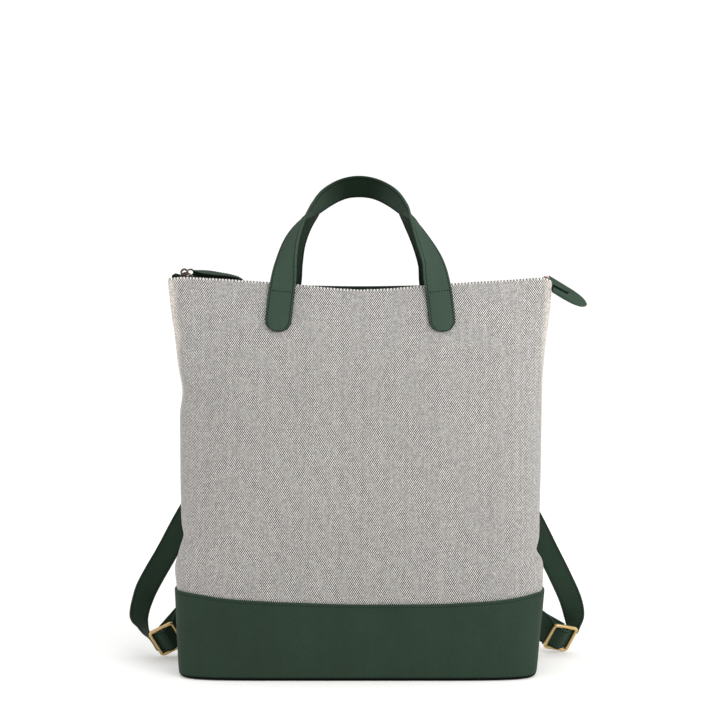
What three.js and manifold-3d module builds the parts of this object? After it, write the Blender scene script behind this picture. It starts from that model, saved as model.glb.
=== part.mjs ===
// Canvas backpack with a leather base, two carrying handles and two shoulder straps.
// Lengths are in millimetres. X runs to the right, Y to the back, Z up from the underside.
import * as THREE from 'three';
import { mergeVertices } from 'three/addons/utils/BufferGeometryUtils.js';

// Driving sizes
const CANVAS_WALL = 2.0;
const LEATHER_WALL = 2.0;
const CLEARANCE = 0.3;
const SEAM_LAP = 8;
const BASE_FLOOR = 2.5;
const HANDLE_WIDTH = 28;
const HANDLE_THICK = 3.0;
const STRAP_WIDTH = 25;
const STRAP_THICK = 2.0;
const BUCKLE = { along: 30, across: 37, bar: 3.8, side: 3.8, thick: 3.0, corner: 4.5 };
const PANEL_COLUMNS = 26;
const PANEL_ROWS = 16;
const BASE_COLUMNS = 26;

// Inner surface of the bag by height. shift is its lean to the right; flat and round shape
// the section: small values give a box with rounded corners, values near two give sharp
// side seams.
const SECTIONS = [
  { height: 0, half_width: 182.6, shift: -2.0, front: 63.0, back: 60.0, flat: 0.36, round: 0.36 },
  { height: 40, half_width: 186.3, shift: -1.4, front: 61.8, back: 60.0, flat: 0.40, round: 0.40 },
  { height: 85, half_width: 190.3, shift: -0.9, front: 60.5, back: 60.0, flat: 0.46, round: 0.44 },
  { height: 108, half_width: 191.0, shift: -0.7, front: 61.0, back: 60.0, flat: 0.50, round: 0.48 },
  { height: 138, half_width: 187.0, shift: 0.2, front: 60.5, back: 59.0, flat: 0.56, round: 0.55 },
  { height: 200, half_width: 188.5, shift: 0.5, front: 57.5, back: 56.0, flat: 0.62, round: 0.66 },
  { height: 260, half_width: 190.0, shift: 0.7, front: 51.0, back: 49.5, flat: 0.70, round: 0.85 },
  { height: 310, half_width: 191.6, shift: 0.9, front: 43.0, back: 42.0, flat: 0.80, round: 1.10 },
  { height: 345, half_width: 195.2, shift: 0.6, front: 35.5, back: 35.0, flat: 0.88, round: 1.35 },
  { height: 380, half_width: 200.4, shift: 0.5, front: 26.5, back: 26.0, flat: 0.95, round: 1.60 },
  { height: 400, half_width: 202.8, shift: 0.2, front: 19.5, back: 19.5, flat: 1.00, round: 1.80 },
  { height: 418, half_width: 204.5, shift: 0.0, front: 14.5, back: 14.5, flat: 1.00, round: 1.90 },
];

// Height of the two top edges by distance from the middle; tilt raises the left half
const RIM = [
  { across: 0, front: 399.8, back: 402.5, tilt: 0 },
  { across: 30, front: 401.4, back: 403.2, tilt: 0.3 },
  { across: 66, front: 405.0, back: 405.6, tilt: 0.6 },
  { across: 127, front: 409.6, back: 409.6, tilt: 0.8 },
  { across: 165, front: 412.2, back: 412.2, tilt: 0.8 },
  { across: 186, front: 413.6, back: 413.6, tilt: 0.5 },
  { across: 197, front: 413.2, back: 413.2, tilt: 0 },
  { across: 206, front: 411.0, back: 411.0, tilt: 0 },
];

// Height of the seam between canvas and leather by distance from the middle
const SEAM = [
  { across: 0, up: 78.0 },
  { across: 60, up: 79.4 },
  { across: 130, up: 83.0 },
  { across: 170, up: 86.0 },
  { across: 200, up: 85.0 },
];

// Dents and bulges of the canvas; depth is outward, reach is the size of each
const FOLDS = [
  { side: 'front', x: -196, z: 294, depth: -3.0, reach_x: 46, reach_z: 16 },
  { side: 'back', x: -196, z: 294, depth: -3.0, reach_x: 46, reach_z: 16 },
  { side: 'front', x: -198, z: 352, depth: -2.0, reach_x: 22, reach_z: 7 },
  { side: 'front', x: -196, z: 141, depth: -2.2, reach_x: 34, reach_z: 11 },
  { side: 'back', x: -196, z: 141, depth: -2.2, reach_x: 34, reach_z: 11 },
  { side: 'front', x: 196, z: 127, depth: -3.4, reach_x: 40, reach_z: 9 },
  { side: 'back', x: 196, z: 127, depth: -3.4, reach_x: 40, reach_z: 9 },
  { side: 'front', x: -196, z: 103, depth: 1.8, reach_x: 60, reach_z: 16 },
  { side: 'back', x: -196, z: 103, depth: 1.8, reach_x: 60, reach_z: 16 },
  { side: 'front', x: 150, z: 106, depth: 2.0, reach_x: 40, reach_z: 16 },
  { side: 'front', x: 0, z: 330, depth: -2.5, reach_x: 60, reach_z: 60 },
  { side: 'front', x: -60, z: 180, depth: 2.0, reach_x: 70, reach_z: 70 },
  { side: 'front', x: 90, z: 240, depth: 1.5, reach_x: 60, reach_z: 60 },
];

// Zip crest along the bag
const ZIP_LINE = [
  { at: -172, crest: 415.0 },
  { at: -160, crest: 413.8 },
  { at: -150, crest: 412.0 },
  { at: -138, crest: 409.9 },
  { at: -127, crest: 408.5 },
  { at: -90, crest: 405.8 },
  { at: -45, crest: 404.6 },
  { at: 0, crest: 404.0 },
  { at: 45, crest: 404.6 },
  { at: 90, crest: 405.8 },
  { at: 127, crest: 408.4 },
  { at: 150, crest: 410.2 },
  { at: 182, crest: 412.0 },
];

// Left half of a carrying handle; twist turns the inner edge forward about its run, lean
// moves both halves sideways, and the back columns narrow, lower and turn the back one
const HANDLE = [
  {
    across: 86.4, up: 355.2, off: 0, twist: 0, lean: 0.2,
    back_share: 0.962, back_drop: 0, back_twist: 0, sewn: true,
  },
  {
    across: 85.4, up: 365, off: 0, twist: 0, lean: 0.2,
    back_share: 0.962, back_drop: 0, back_twist: 0, sewn: true,
  },
  {
    across: 84.2, up: 378, off: 0, twist: 0, lean: 0.2,
    back_share: 0.962, back_drop: 0, back_twist: 0, sewn: true,
  },
  {
    across: 82.8, up: 392, off: 0, twist: 0, lean: 0.2,
    back_share: 0.962, back_drop: 0, back_twist: 0, sewn: true,
  },
  {
    across: 80.6, up: 409, off: 20.5, twist: 13, lean: 0,
    back_share: 0.96, back_drop: 0, back_twist: 13, sewn: false,
  },
  {
    across: 77.2, up: 429, off: 17.8, twist: 36, lean: -0.6,
    back_share: 0.955, back_drop: 0, back_twist: 34, sewn: false,
  },
  {
    across: 68.6, up: 453, off: 16.8, twist: 57, lean: -2.8,
    back_share: 0.955, back_drop: 0.6, back_twist: 48, sewn: false,
  },
  {
    across: 57.6, up: 473.6, off: 16.2, twist: 78, lean: -2.6,
    back_share: 0.975, back_drop: 2, back_twist: 56, sewn: false,
  },
  {
    across: 50.2, up: 486.5, off: 15.8, twist: 92, lean: -0.6,
    back_share: 0.98, back_drop: 4, back_twist: 64, sewn: false,
  },
  {
    across: 29.5, up: 503.6, off: 15.2, twist: 112, lean: -0.9,
    back_share: 0.9, back_drop: 5, back_twist: 106, sewn: false,
  },
  {
    across: 0, up: 510, off: 15.0, twist: 128, lean: -1.2,
    back_share: 1, back_drop: 3, back_twist: 128, sewn: false,
  },
];

// Free run of each shoulder strap from the patch down to the buckle, with the direction
// of its outer edge
const STRAP_RIGHT = [
  { x: 82, y: 66, z: 300, edge_x: 0.72, edge_y: 0.05, edge_z: 0.69 },
  { x: 124, y: 88, z: 252, edge_x: 0.76, edge_y: 0.05, edge_z: 0.65 },
  { x: 166, y: 99, z: 194, edge_x: 0.82, edge_y: 0.02, edge_z: 0.57 },
  { x: 194.5, y: 99, z: 146, edge_x: 0.87, edge_y: 0.0, edge_z: 0.49 },
  { x: 213, y: 94, z: 108.6, edge_x: 0.89, edge_y: 0.0, edge_z: 0.45 },
  { x: 225.5, y: 87, z: 82.5, edge_x: 0.9, edge_y: 0.0, edge_z: 0.42 },
  { x: 236.4, y: 80.5, z: 56.6, edge_x: 0.93, edge_y: -0.15, edge_z: 0.3 },
  { x: 239.6, y: 77.2, z: 41, edge_x: 0.85, edge_y: -0.45, edge_z: 0.25 },
  { x: 238.8, y: 74.4, z: 29, edge_x: 0.55, edge_y: -0.8, edge_z: 0.3 },
];
const STRAP_LEFT = [
  { x: -82, y: 66, z: 300, edge_x: -0.72, edge_y: 0.05, edge_z: 0.69 },
  { x: -125, y: 88, z: 252, edge_x: -0.76, edge_y: 0.05, edge_z: 0.65 },
  { x: -169, y: 99, z: 194, edge_x: -0.82, edge_y: 0.02, edge_z: 0.57 },
  { x: -199, y: 99, z: 146, edge_x: -0.87, edge_y: 0.0, edge_z: 0.49 },
  { x: -218.6, y: 94, z: 108.6, edge_x: -0.89, edge_y: 0.0, edge_z: 0.45 },
  { x: -233.2, y: 86, z: 82.6, edge_x: -0.9, edge_y: 0.0, edge_z: 0.42 },
  { x: -244, y: 78.5, z: 57, edge_x: -0.95, edge_y: -0.1, edge_z: 0.28 },
  { x: -246.4, y: 74, z: 43.5, edge_x: -0.93, edge_y: -0.3, edge_z: 0.15 },
  { x: -243.6, y: 70.2, z: 31, edge_x: -0.72, edge_y: -0.6, edge_z: 0.1 },
  { x: -236, y: 66.2, z: 22.4, edge_x: -0.35, edge_y: -0.85, edge_z: 0.35 },
];

// Run of the strap through a buckle: along it from the outer bar to the inner one, and
// in front of its middle plane
const BUCKLE_RUN = [
  { along: -16.6, ahead: -7.0 },
  { along: -15.7, ahead: -4.5 },
  { along: -13.4, ahead: -3.3 },
  { along: -10.8, ahead: -3.05 },
  { along: -6.3, ahead: 0.0 },
  { along: -2.2, ahead: 3.15 },
  { along: 0, ahead: 3.5 },
  { along: 2.2, ahead: 3.15 },
  { along: 6.3, ahead: 0.0 },
  { along: 10.8, ahead: -3.05 },
  { along: 14.2, ahead: -3.3 },
];

// Place of each buckle: middle, direction from the outer bar to the inner one, upper
// direction of its bars, and the height where the strap is sewn to the base
const BUCKLE_RIGHT = {
  middle: [222, 62, 18.5], inward: [-0.947, -0.248, 0.203], upper: [0.306, -0.512, 0.803],
  way: [[200, 61.4, 32], [186, 60, 41.5]],
  sewn: [{ x: 165, z: 47 }, { x: 155, z: 48.4 }, { x: 143, z: 49 }],
};
const BUCKLE_LEFT = {
  middle: [-213.6, 52, 20.0], inward: [0.843, -0.281, 0.461], upper: [-0.54, -0.464, 0.703],
  way: [[-198, 54.8, 37.5], [-186, 57.6, 49]],
  sewn: [{ x: -168, z: 55 }, { x: -157, z: 56.6 }, { x: -145, z: 57 }],
};

// Colours of the materials
const COLOURS = {
  canvas: 0xb2aea8, leather: 0x33463a, strap: 0x2c3b30, tape: 0x24322a, brass: 0xd9c48f, steel: 0xb9ada0,
};

const V = (x, y, z) => new THREE.Vector3(x, y, z);

// Smooth value of every column of a table at one position of its first column
function rowAt(rows, at) {
  const keys = Object.keys(rows[0]);
  const lead = keys[0];
  const place = Math.min(Math.max(at, rows[0][lead]), rows[rows.length - 1][lead]);
  let k = 0;
  while (k < rows.length - 2 && place > rows[k + 1][lead]) k += 1;
  const a = rows[k];
  const b = rows[k + 1];
  const before = rows[Math.max(k - 1, 0)];
  const after = rows[Math.min(k + 2, rows.length - 1)];
  const span = b[lead] - a[lead];
  const t = (place - a[lead]) / span;
  const result = {};
  for (const key of keys.slice(1)) {
    const slopeA = ((b[key] - before[key]) / (b[lead] - before[lead])) * span;
    const slopeB = ((after[key] - a[key]) / (after[lead] - a[lead])) * span;
    const t2 = t * t;
    const t3 = t2 * t;
    result[key] = (2 * t3 - 3 * t2 + 1) * a[key] + (t3 - 2 * t2 + t) * slopeA
      + (3 * t2 - 2 * t3) * b[key] + (t3 - t2) * slopeB;
  }
  return result;
}

// Half section of the inner surface at a height, from the left seam to the right one
function halfSection(side, height) {
  const row = rowAt(SECTIONS, height);
  const depth = side === 'front' ? -row.front : row.back;
  const points = [];
  const steps = 120;
  for (let i = 0; i <= steps; i += 1) {
    const angle = (Math.PI * i) / steps;
    const c = -Math.cos(angle);
    const x = row.half_width * Math.sign(c) * Math.abs(c) ** row.flat;
    const y = depth * Math.max(Math.sin(angle), 0) ** row.round;
    points.push(new THREE.Vector2(row.shift + x, i === 0 || i === steps ? 0 : y));
  }
  const lengths = [0];
  for (let i = 1; i <= steps; i += 1) lengths.push(lengths[i - 1] + points[i].distanceTo(points[i - 1]));
  return { points, lengths, total: lengths[steps] };
}

function alongSection(section, share) {
  const want = Math.min(Math.max(share, 0), 1) * section.total;
  let i = 1;
  while (i < section.points.length - 1 && section.lengths[i] < want) i += 1;
  const part = (want - section.lengths[i - 1]) / Math.max(section.lengths[i] - section.lengths[i - 1], 1e-9);
  return section.points[i - 1].clone().lerp(section.points[i], part);
}

function foldDepth(side, x, z) {
  let sum = 0;
  for (const fold of FOLDS) {
    if (fold.side !== side) continue;
    const p = (x - fold.x) / fold.reach_x;
    const q = (z - fold.z) / fold.reach_z;
    sum += fold.depth * Math.exp(-p * p - q * q);
  }
  return sum;
}

// Point of the bag wall: share runs from the left seam to the right one, outward is the
// distance from the inner surface
function wallPoint(side, share, height, outward) {
  const section = halfSection(side, height);
  const step = 0.006;
  const here = alongSection(section, share);
  const tangent = alongSection(section, share + step).sub(alongSection(section, share - step)).normalize();
  const turn = side === 'front' ? 1 : -1;
  const normal = new THREE.Vector2(turn * tangent.y, -turn * tangent.x);
  const { smoothstep } = THREE.MathUtils;
  const fade = smoothstep(height, 92, 120) * (1 - smoothstep(height, 385, 405));
  const push = outward + foldDepth(side, here.x, height) * fade;
  const x = here.x + normal.x * push;
  let y = here.y + normal.y * push;
  y = side === 'front' ? Math.min(y, -CLEARANCE / 2) : Math.max(y, CLEARANCE / 2);
  return V(x, y, height);
}

function shareAt(side, x, height) {
  let low = 0;
  let high = 1;
  for (let i = 0; i < 40; i += 1) {
    const middle = (low + high) / 2;
    if (wallPoint(side, middle, height, CANVAS_WALL).x < x) low = middle;
    else high = middle;
  }
  return (low + high) / 2;
}

// Point on a wall seen at x and a height, with its outward normal
function onWall(side, x, height, outward) {
  const share = shareAt(side, x, height);
  const point = wallPoint(side, share, height, outward);
  const near = (across, rise) => wallPoint(side, share + across, height + rise, outward);
  const along = near(0.01, 0).sub(near(-0.01, 0));
  const up = near(0, 3).sub(near(0, -3));
  const normal = along.clone().cross(up).normalize();
  if (side === 'back') normal.negate();
  return { point, normal, along: along.normalize(), up: up.normalize() };
}

// Closed solid through rings of equal counts. Caps are fans, or strips for thin walls.
function loft(rings, cap) {
  const count = rings[0].length;
  const positions = [];
  for (const ring of rings) for (const p of ring) positions.push(p.x, p.y, p.z);
  const index = [];
  for (let k = 0; k < rings.length - 1; k += 1) {
    for (let i = 0; i < count; i += 1) {
      const a = k * count + i;
      const b = k * count + ((i + 1) % count);
      index.push(a, b, b + count, a, b + count, a + count);
    }
  }
  const last = (rings.length - 1) * count;
  if (cap === 'strip') {
    for (let i = 0; i < count / 2 - 1; i += 1) {
      const j = count - 1 - i;
      index.push(i, j - 1, i + 1, i, j, j - 1);
      index.push(last + i, last + i + 1, last + j - 1, last + i, last + j - 1, last + j);
    }
  } else {
    for (const [ring, base, flip] of [[rings[0], 0, true], [rings[rings.length - 1], last, false]]) {
      const middle = V(0, 0, 0);
      for (const p of ring) middle.addScaledVector(p, 1 / count);
      const hub = positions.length / 3;
      positions.push(middle.x, middle.y, middle.z);
      for (let i = 0; i < count; i += 1) {
        const j = (i + 1) % count;
        if (flip) index.push(hub, base + j, base + i);
        else index.push(hub, base + i, base + j);
      }
    }
  }
  const geometry = new THREE.BufferGeometry();
  geometry.setAttribute('position', new THREE.Float32BufferAttribute(positions, 3));
  geometry.setIndex(index);
  geometry.computeVertexNormals();
  return geometry;
}

const group = new THREE.Group();
group.name = 'canvas_backpack';

function add(name, geometry, colour, metalness, roughness) {
  const material = new THREE.MeshStandardMaterial({ color: colour, metalness, roughness });
  material.name = name;
  const mesh = new THREE.Mesh(geometry, material);
  mesh.name = name;
  group.add(mesh);
}

// Canvas panels
function canvasPanel(side) {
  const rings = [];
  for (let r = 0; r <= PANEL_ROWS; r += 1) {
    const outer = [];
    const inner = [];
    for (let c = 0; c <= PANEL_COLUMNS; c += 1) {
      const share = c / PANEL_COLUMNS;
      const low = rowAt(SEAM, Math.abs(wallPoint(side, share, 80, 0).x)).up - SEAM_LAP;
      const across = wallPoint(side, share, 405, 0).x;
      const rim = rowAt(RIM, Math.abs(across));
      const top = rim[side] - Math.sign(across) * rim.tilt;
      const height = low + ((top - low) * r) / PANEL_ROWS;
      outer.push(wallPoint(side, share, height, CANVAS_WALL));
      inner.push(wallPoint(side, share, height, 0));
    }
    if (side === 'front') rings.push([...outer, ...inner.reverse()]);
    else rings.push([...outer.reverse(), ...inner]);
  }
  return loft(rings, 'strip');
}
add('canvas_front', canvasPanel('front'), COLOURS.canvas, 0, 0.9);
add('canvas_back', canvasPanel('back'), COLOURS.canvas, 0, 0.9);

// Leather base
function basePoint(side, share, inset, outward, heightOf) {
  const across = Math.abs(wallPoint(side, share, 60, 0).x);
  const cornered = 0.42 + 0.58 * (across / 190) ** 6;
  const point = wallPoint(side, share, heightOf(across), outward - inset * cornered);
  if (share === 0 || share === 1) point.y = 0;
  return point;
}

function baseRing(inset, outward, heightOf) {
  const ring = [];
  const point = (side, column) => basePoint(side, column / BASE_COLUMNS, inset, outward, heightOf);
  for (let c = 0; c < BASE_COLUMNS; c += 1) ring.push(point('front', c));
  for (let c = BASE_COLUMNS; c > 0; c -= 1) ring.push(point('back', c));
  return ring;
}

function leatherBase() {
  const inside = CANVAS_WALL + CLEARANCE;
  const outside = inside + LEATHER_WALL;
  const rings = [
    baseRing(6.4, outside, () => 0),
    baseRing(3.6, outside, () => 0.7),
    baseRing(1.4, outside, () => 2.4),
    baseRing(0.3, outside, () => 5.4),
    baseRing(0, outside, () => 10),
    baseRing(0, outside, (x) => 0.55 * rowAt(SEAM, x).up),
    baseRing(0, outside, (x) => rowAt(SEAM, x).up),
    baseRing(0, inside, (x) => rowAt(SEAM, x).up),
    baseRing(0, inside, (x) => rowAt(SEAM, x).up - SEAM_LAP - 1),
    baseRing(0, inside, () => 14),
    baseRing(6, inside, () => BASE_FLOOR),
  ];
  return loft(rings, 'fan');
}
add('leather_base', leatherBase(), COLOURS.leather, 0, 0.6);

// Ribbon of constant width through stations that hold a middle and an edge direction
function ribbon(stations, width, thick, samples, endRound) {
  const middles = new THREE.CatmullRomCurve3(stations.map((s) => s.middle), false, 'centripetal');
  const edges = new THREE.CatmullRomCurve3(stations.map((s) => s.edge), false, 'centripetal');
  const places = [];
  for (let i = 0; i <= samples; i += 1) places.push(i / samples);
  if (endRound > 0) for (const near of [0.004, 0.012, 0.03]) places.push(near, 1 - near);
  places.sort((a, b) => a - b);
  const rings = [];
  const total = middles.getLength();
  let gone = 0;
  let previous = null;
  for (const t of places) {
    const middle = middles.getPoint(t);
    if (previous) gone += middle.distanceTo(previous);
    previous = middle;
    const next = middles.getPoint(Math.min(t + 0.002, 1));
    const ahead = next.sub(middles.getPoint(Math.max(t - 0.002, 0))).normalize();
    const edge = edges.getPoint(t);
    edge.addScaledVector(ahead, -edge.dot(ahead)).normalize();
    const normal = ahead.clone().cross(edge);
    const fromEnd = Math.min(gone, total - gone);
    let half = width / 2;
    if (endRound > 0 && fromEnd < endRound) {
      const rest = endRound - Math.max(fromEnd, 0);
      half += Math.sqrt(Math.max(endRound * endRound - rest * rest, 0)) - endRound;
    }
    const nip = Math.min(0.7, half * 0.5, thick * 0.35);
    const lift = thick / 2;
    const outline = [
      [-half + nip, -lift], [half - nip, -lift], [half, -lift + nip], [half, lift - nip],
      [half - nip, lift], [-half + nip, lift], [-half, lift - nip], [-half, -lift + nip],
    ];
    rings.push(outline.map(([p, q]) => middle.clone().addScaledVector(edge, p).addScaledVector(normal, q)));
  }
  return loft(rings, 'fan');
}

// Carrying handles
function handle(side) {
  const forward = side === 'front' ? -1 : 1;
  const placed = (row, hand) => {
    const share = side === 'front' ? 1 : row.back_share;
    const drop = side === 'front' ? 0 : row.back_drop;
    const twist = side === 'front' ? row.twist : row.back_twist;
    return { ...row, x: row.lean + hand * row.across * share, up: row.up - drop, twist };
  };
  const rows = HANDLE.map((row) => placed(row, -1));
  for (const row of [...HANDLE].reverse().slice(1)) rows.push(placed(row, 1));
  const middles = rows.map((row) => {
    if (!row.sewn) return V(row.x, forward * row.off, row.up);
    const place = onWall(side, row.x, row.up, CANVAS_WALL);
    return place.point.addScaledVector(place.normal, CLEARANCE + 0.5 + HANDLE_THICK / 2);
  });
  const stations = rows.map((row, i) => {
    const next = middles[Math.min(i + 1, rows.length - 1)].clone();
    const ahead = next.sub(middles[Math.max(i - 1, 0)]).normalize();
    const inner = ahead.clone().cross(V(0, -1, 0)).normalize();
    const turn = THREE.MathUtils.degToRad(row.twist);
    const edge = inner.multiplyScalar(Math.cos(turn)).add(V(0, forward * Math.sin(turn), 0));
    if (row.sewn) {
      const { along } = onWall(side, row.x, row.up, CANVAS_WALL);
      edge.copy(along).multiplyScalar(row.x < 0 ? 1 : -1);
    }
    return { middle: middles[i], edge };
  });
  return ribbon(stations, HANDLE_WIDTH, HANDLE_THICK, 48, 12.5);
}
add('handle_front', handle('front'), COLOURS.leather, 0, 0.55);
add('handle_back', handle('back'), COLOURS.leather, 0, 0.55);

// Slide buckles
function buckleAxes(place) {
  const along = V(...place.inward).normalize();
  const upper = V(...place.upper);
  upper.addScaledVector(along, -upper.dot(along)).normalize();
  const normal = along.clone().cross(upper);
  return { along, upper, normal, middle: V(...place.middle) };
}

function roundedRect(path, left, bottom, right, top, radius) {
  path.moveTo(left + radius, bottom);
  path.lineTo(right - radius, bottom);
  path.quadraticCurveTo(right, bottom, right, bottom + radius);
  path.lineTo(right, top - radius);
  path.quadraticCurveTo(right, top, right - radius, top);
  path.lineTo(left + radius, top);
  path.quadraticCurveTo(left, top, left, top - radius);
  path.lineTo(left, bottom + radius);
  path.quadraticCurveTo(left, bottom, left + radius, bottom);
  return path;
}

function buckle(place) {
  const { along, across, bar, side, thick, corner } = BUCKLE;
  const shape = roundedRect(new THREE.Shape(), -along / 2, -across / 2, along / 2, across / 2, corner);
  const low = -across / 2 + side;
  const high = across / 2 - side;
  shape.holes.push(roundedRect(new THREE.Path(), -along / 2 + bar, low, -bar / 2, high, 1.8));
  shape.holes.push(roundedRect(new THREE.Path(), bar / 2, low, along / 2 - bar, high, 1.8));
  const geometry = new THREE.ExtrudeGeometry(shape, { depth: thick, bevelEnabled: false, curveSegments: 4 });
  geometry.translate(0, 0, -thick / 2);
  const axes = buckleAxes(place);
  const matrix = new THREE.Matrix4().makeBasis(axes.along, axes.upper, axes.normal);
  matrix.setPosition(axes.middle);
  geometry.applyMatrix4(matrix);
  return geometry;
}
add('buckle_left', buckle(BUCKLE_LEFT), COLOURS.brass, 1, 0.35);
add('buckle_right', buckle(BUCKLE_RIGHT), COLOURS.brass, 1, 0.35);

// Shoulder straps
const STRAP_TOP = [
  { x: 24, z: 370 },
  { x: 32, z: 358 },
  { x: 41.5, z: 345 },
  { x: 53.5, z: 329 },
];

function strap(run, place) {
  const hand = place.middle[0] < 0 ? -1 : 1;
  const axes = buckleAxes(place);
  const face = axes.normal.clone().multiplyScalar(axes.normal.y < 0 ? 1 : -1);
  const stations = [];
  for (const row of STRAP_TOP) {
    const spot = onWall('back', hand * row.x, row.z, CANVAS_WALL);
    const lift = CLEARANCE + 0.25 + STRAP_THICK / 2 + (row.z < 335 ? 1.2 : 0);
    stations.push({
      middle: spot.point.addScaledVector(spot.normal, lift),
      edge: spot.along.multiplyScalar(hand * 0.8).addScaledVector(spot.up, 0.6),
    });
  }
  for (const row of run) {
    const edge = V(row.edge_x, row.edge_y, row.edge_z);
    stations.push({ middle: V(row.x, row.y, row.z), edge });
  }
  for (const row of BUCKLE_RUN) {
    stations.push({
      middle: axes.middle.clone().addScaledVector(axes.along, row.along).addScaledVector(face, row.ahead),
      edge: axes.upper.clone(),
    });
  }
  for (const [x, y, z] of place.way) stations.push({ middle: V(x, y, z), edge: V(0.06 * hand, -0.25, 0.96) });
  for (const row of place.sewn) {
    const wall = CANVAS_WALL + CLEARANCE + LEATHER_WALL;
    const spot = onWall('back', row.x, row.z, wall);
    spot.point.addScaledVector(spot.normal, CLEARANCE + 0.7 + STRAP_THICK / 2);
    stations.push({ middle: spot.point, edge: V(0, 0, 1) });
  }
  return ribbon(stations, STRAP_WIDTH, STRAP_THICK, 68, 0);
}
add('strap_left', strap(STRAP_LEFT, BUCKLE_LEFT), COLOURS.strap, 0, 0.6);
add('strap_right', strap(STRAP_RIGHT, BUCKLE_RIGHT), COLOURS.strap, 0, 0.6);

// Patch over the upper ends of the straps
function strapPatch() {
  const rings = [];
  const rows = 6;
  const columns = 10;
  const halfWidth = 60;
  const [low, high] = [338, 388];
  for (let r = 0; r <= rows; r += 1) {
    const outer = [];
    const inner = [];
    for (let c = 0; c <= columns; c += 1) {
      const x = halfWidth * (1 - (2 * c) / columns);
      const z = low + ((high - low) * r) / rows;
      const nearSide = THREE.MathUtils.smoothstep(halfWidth - Math.abs(x), 0, 12);
      const nearTop = THREE.MathUtils.smoothstep(high - z, 0, 8);
      const nearEdge = Math.max(nearSide, 1 - THREE.MathUtils.smoothstep(z, 362, 378));
      const lift = CLEARANCE + 0.3 + (STRAP_THICK + CLEARANCE + 1.1) * nearEdge * nearTop;
      const spot = onWall('back', x, z, CANVAS_WALL);
      inner.push(spot.point.clone().addScaledVector(spot.normal, lift));
      outer.push(spot.point.clone().addScaledVector(spot.normal, lift + LEATHER_WALL));
    }
    rings.push([...outer, ...inner.reverse()]);
  }
  return loft(rings, 'strip');
}
add('strap_patch', strapPatch(), COLOURS.leather, 0, 0.6);

// Zip tapes and teeth
function innerDepth(side, x, z) {
  const spot = onWall(side, x, z, 0);
  return Math.abs(spot.point.y);
}

function zipTape(side) {
  const turn = side === 'front' ? -1 : 1;
  const rings = [];
  const steps = 20;
  const [from, to] = [-170, 182];
  for (let i = 0; i <= steps; i += 1) {
    const x = from + ((to - from) * i) / steps;
    const crest = rowAt(ZIP_LINE, x).crest;
    const reach = Math.max(innerDepth(side, x, crest - 4) - 0.9, 2.2);
    const near = Math.min(2.6, reach * 0.5);
    const run = [
      [reach, crest - 4.4], [near + (reach - near) * 0.8, crest - 1.3], [near + (reach - near) * 0.5, crest],
      [near + (reach - near) * 0.22, crest - 0.9], [near, crest - 2.4],
    ];
    const upper = run.map(([y, z]) => V(x, turn * y, z));
    const lower = run.map(([y, z]) => V(x, turn * y * (y === reach ? 0.94 : 1), z - 1.1)).reverse();
    const ring = [...upper, ...lower];
    rings.push(side === 'front' ? ring.reverse() : ring);
  }
  return loft(rings, 'strip');
}
add('zip_tape_front', zipTape('front'), COLOURS.tape, 0, 0.85);
add('zip_tape_back', zipTape('back'), COLOURS.tape, 0, 0.85);

function bar(points, halfWidth, halfHeight) {
  const rings = points.map((p) => [
    V(p.x, -halfWidth, p.z - halfHeight), V(p.x, halfWidth, p.z - halfHeight),
    V(p.x, halfWidth, p.z + halfHeight), V(p.x, -halfWidth, p.z + halfHeight),
  ]);
  return loft(rings, 'fan');
}

function zipTeeth() {
  const points = [];
  for (let i = 0; i <= 24; i += 1) {
    const x = -164 + (334 * i) / 24;
    points.push(V(x, 0, rowAt(ZIP_LINE, x).crest - 2.6));
  }
  return bar(points, 2.1, 1.0);
}
add('zip_teeth', zipTeeth(), COLOURS.steel, 1, 0.4);

// Flat piece drawn in the X and Z plane and given a width along Y
function sidePiece(shape, width, segments) {
  const settings = { depth: width, bevelEnabled: false, curveSegments: segments };
  const geometry = new THREE.ExtrudeGeometry(shape, settings);
  geometry.translate(0, 0, -width / 2);
  geometry.rotateX(Math.PI / 2);
  return geometry;
}

function outline(points) {
  const shape = new THREE.Shape();
  points.forEach(([x, z], i) => (i ? shape.lineTo(x, z) : shape.moveTo(x, z)));
  shape.closePath();
  return shape;
}

const ZIP_LEFT_END = [
  [-200, 413.6], [-195, 414.2], [-186, 414.5], [-176, 413.9], [-173, 413.7],
  [-174, 414.9], [-189.2, 415.6], [-191.5, 417], [-196, 418.4], [-199.4, 417],
];
add('zip_end_left', sidePiece(outline(ZIP_LEFT_END), 6.5, 4), COLOURS.tape, 0, 0.8);

// Right end of the zip, which leaves the corner and runs into the folded tab
const ZIP_RIGHT_END = [
  { x: 193, y: 0, z: 415.2, edge_x: 0, edge_y: 1, edge_z: 0 },
  { x: 198, y: 0, z: 415.2, edge_x: 0, edge_y: 1, edge_z: 0.1 },
  { x: 203.5, y: 0, z: 413.6, edge_x: 0.2, edge_y: 0.8, edge_z: 0.5 },
  { x: 209.5, y: 0.75, z: 408.3, edge_x: 0.48, edge_y: 0.42, edge_z: 0.77 },
  { x: 223, y: -0.05, z: 398.9, edge_x: 0.48, edge_y: 0.42, edge_z: 0.77 },
];

function zipRightEnd() {
  const stations = ZIP_RIGHT_END.map((row) => ({
    middle: V(row.x, row.y, row.z), edge: V(row.edge_x, row.edge_y, row.edge_z),
  }));
  return ribbon(stations, 3.4, 1.3, 16, 0);
}
add('zip_end_right', zipRightEnd(), COLOURS.tape, 0, 0.8);

// Slider with an eye for the ring
function slider() {
  const shape = roundedRect(new THREE.Shape(), -188.8, 415.95, -178.4, 422.6, 1.8);
  shape.holes.push(roundedRect(new THREE.Path(), -183.8, 418.8, -179.8, 421.3, 0.8));
  return sidePiece(shape, 6.4, 4);
}
add('zip_slider', slider(), COLOURS.steel, 1, 0.35);

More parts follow.
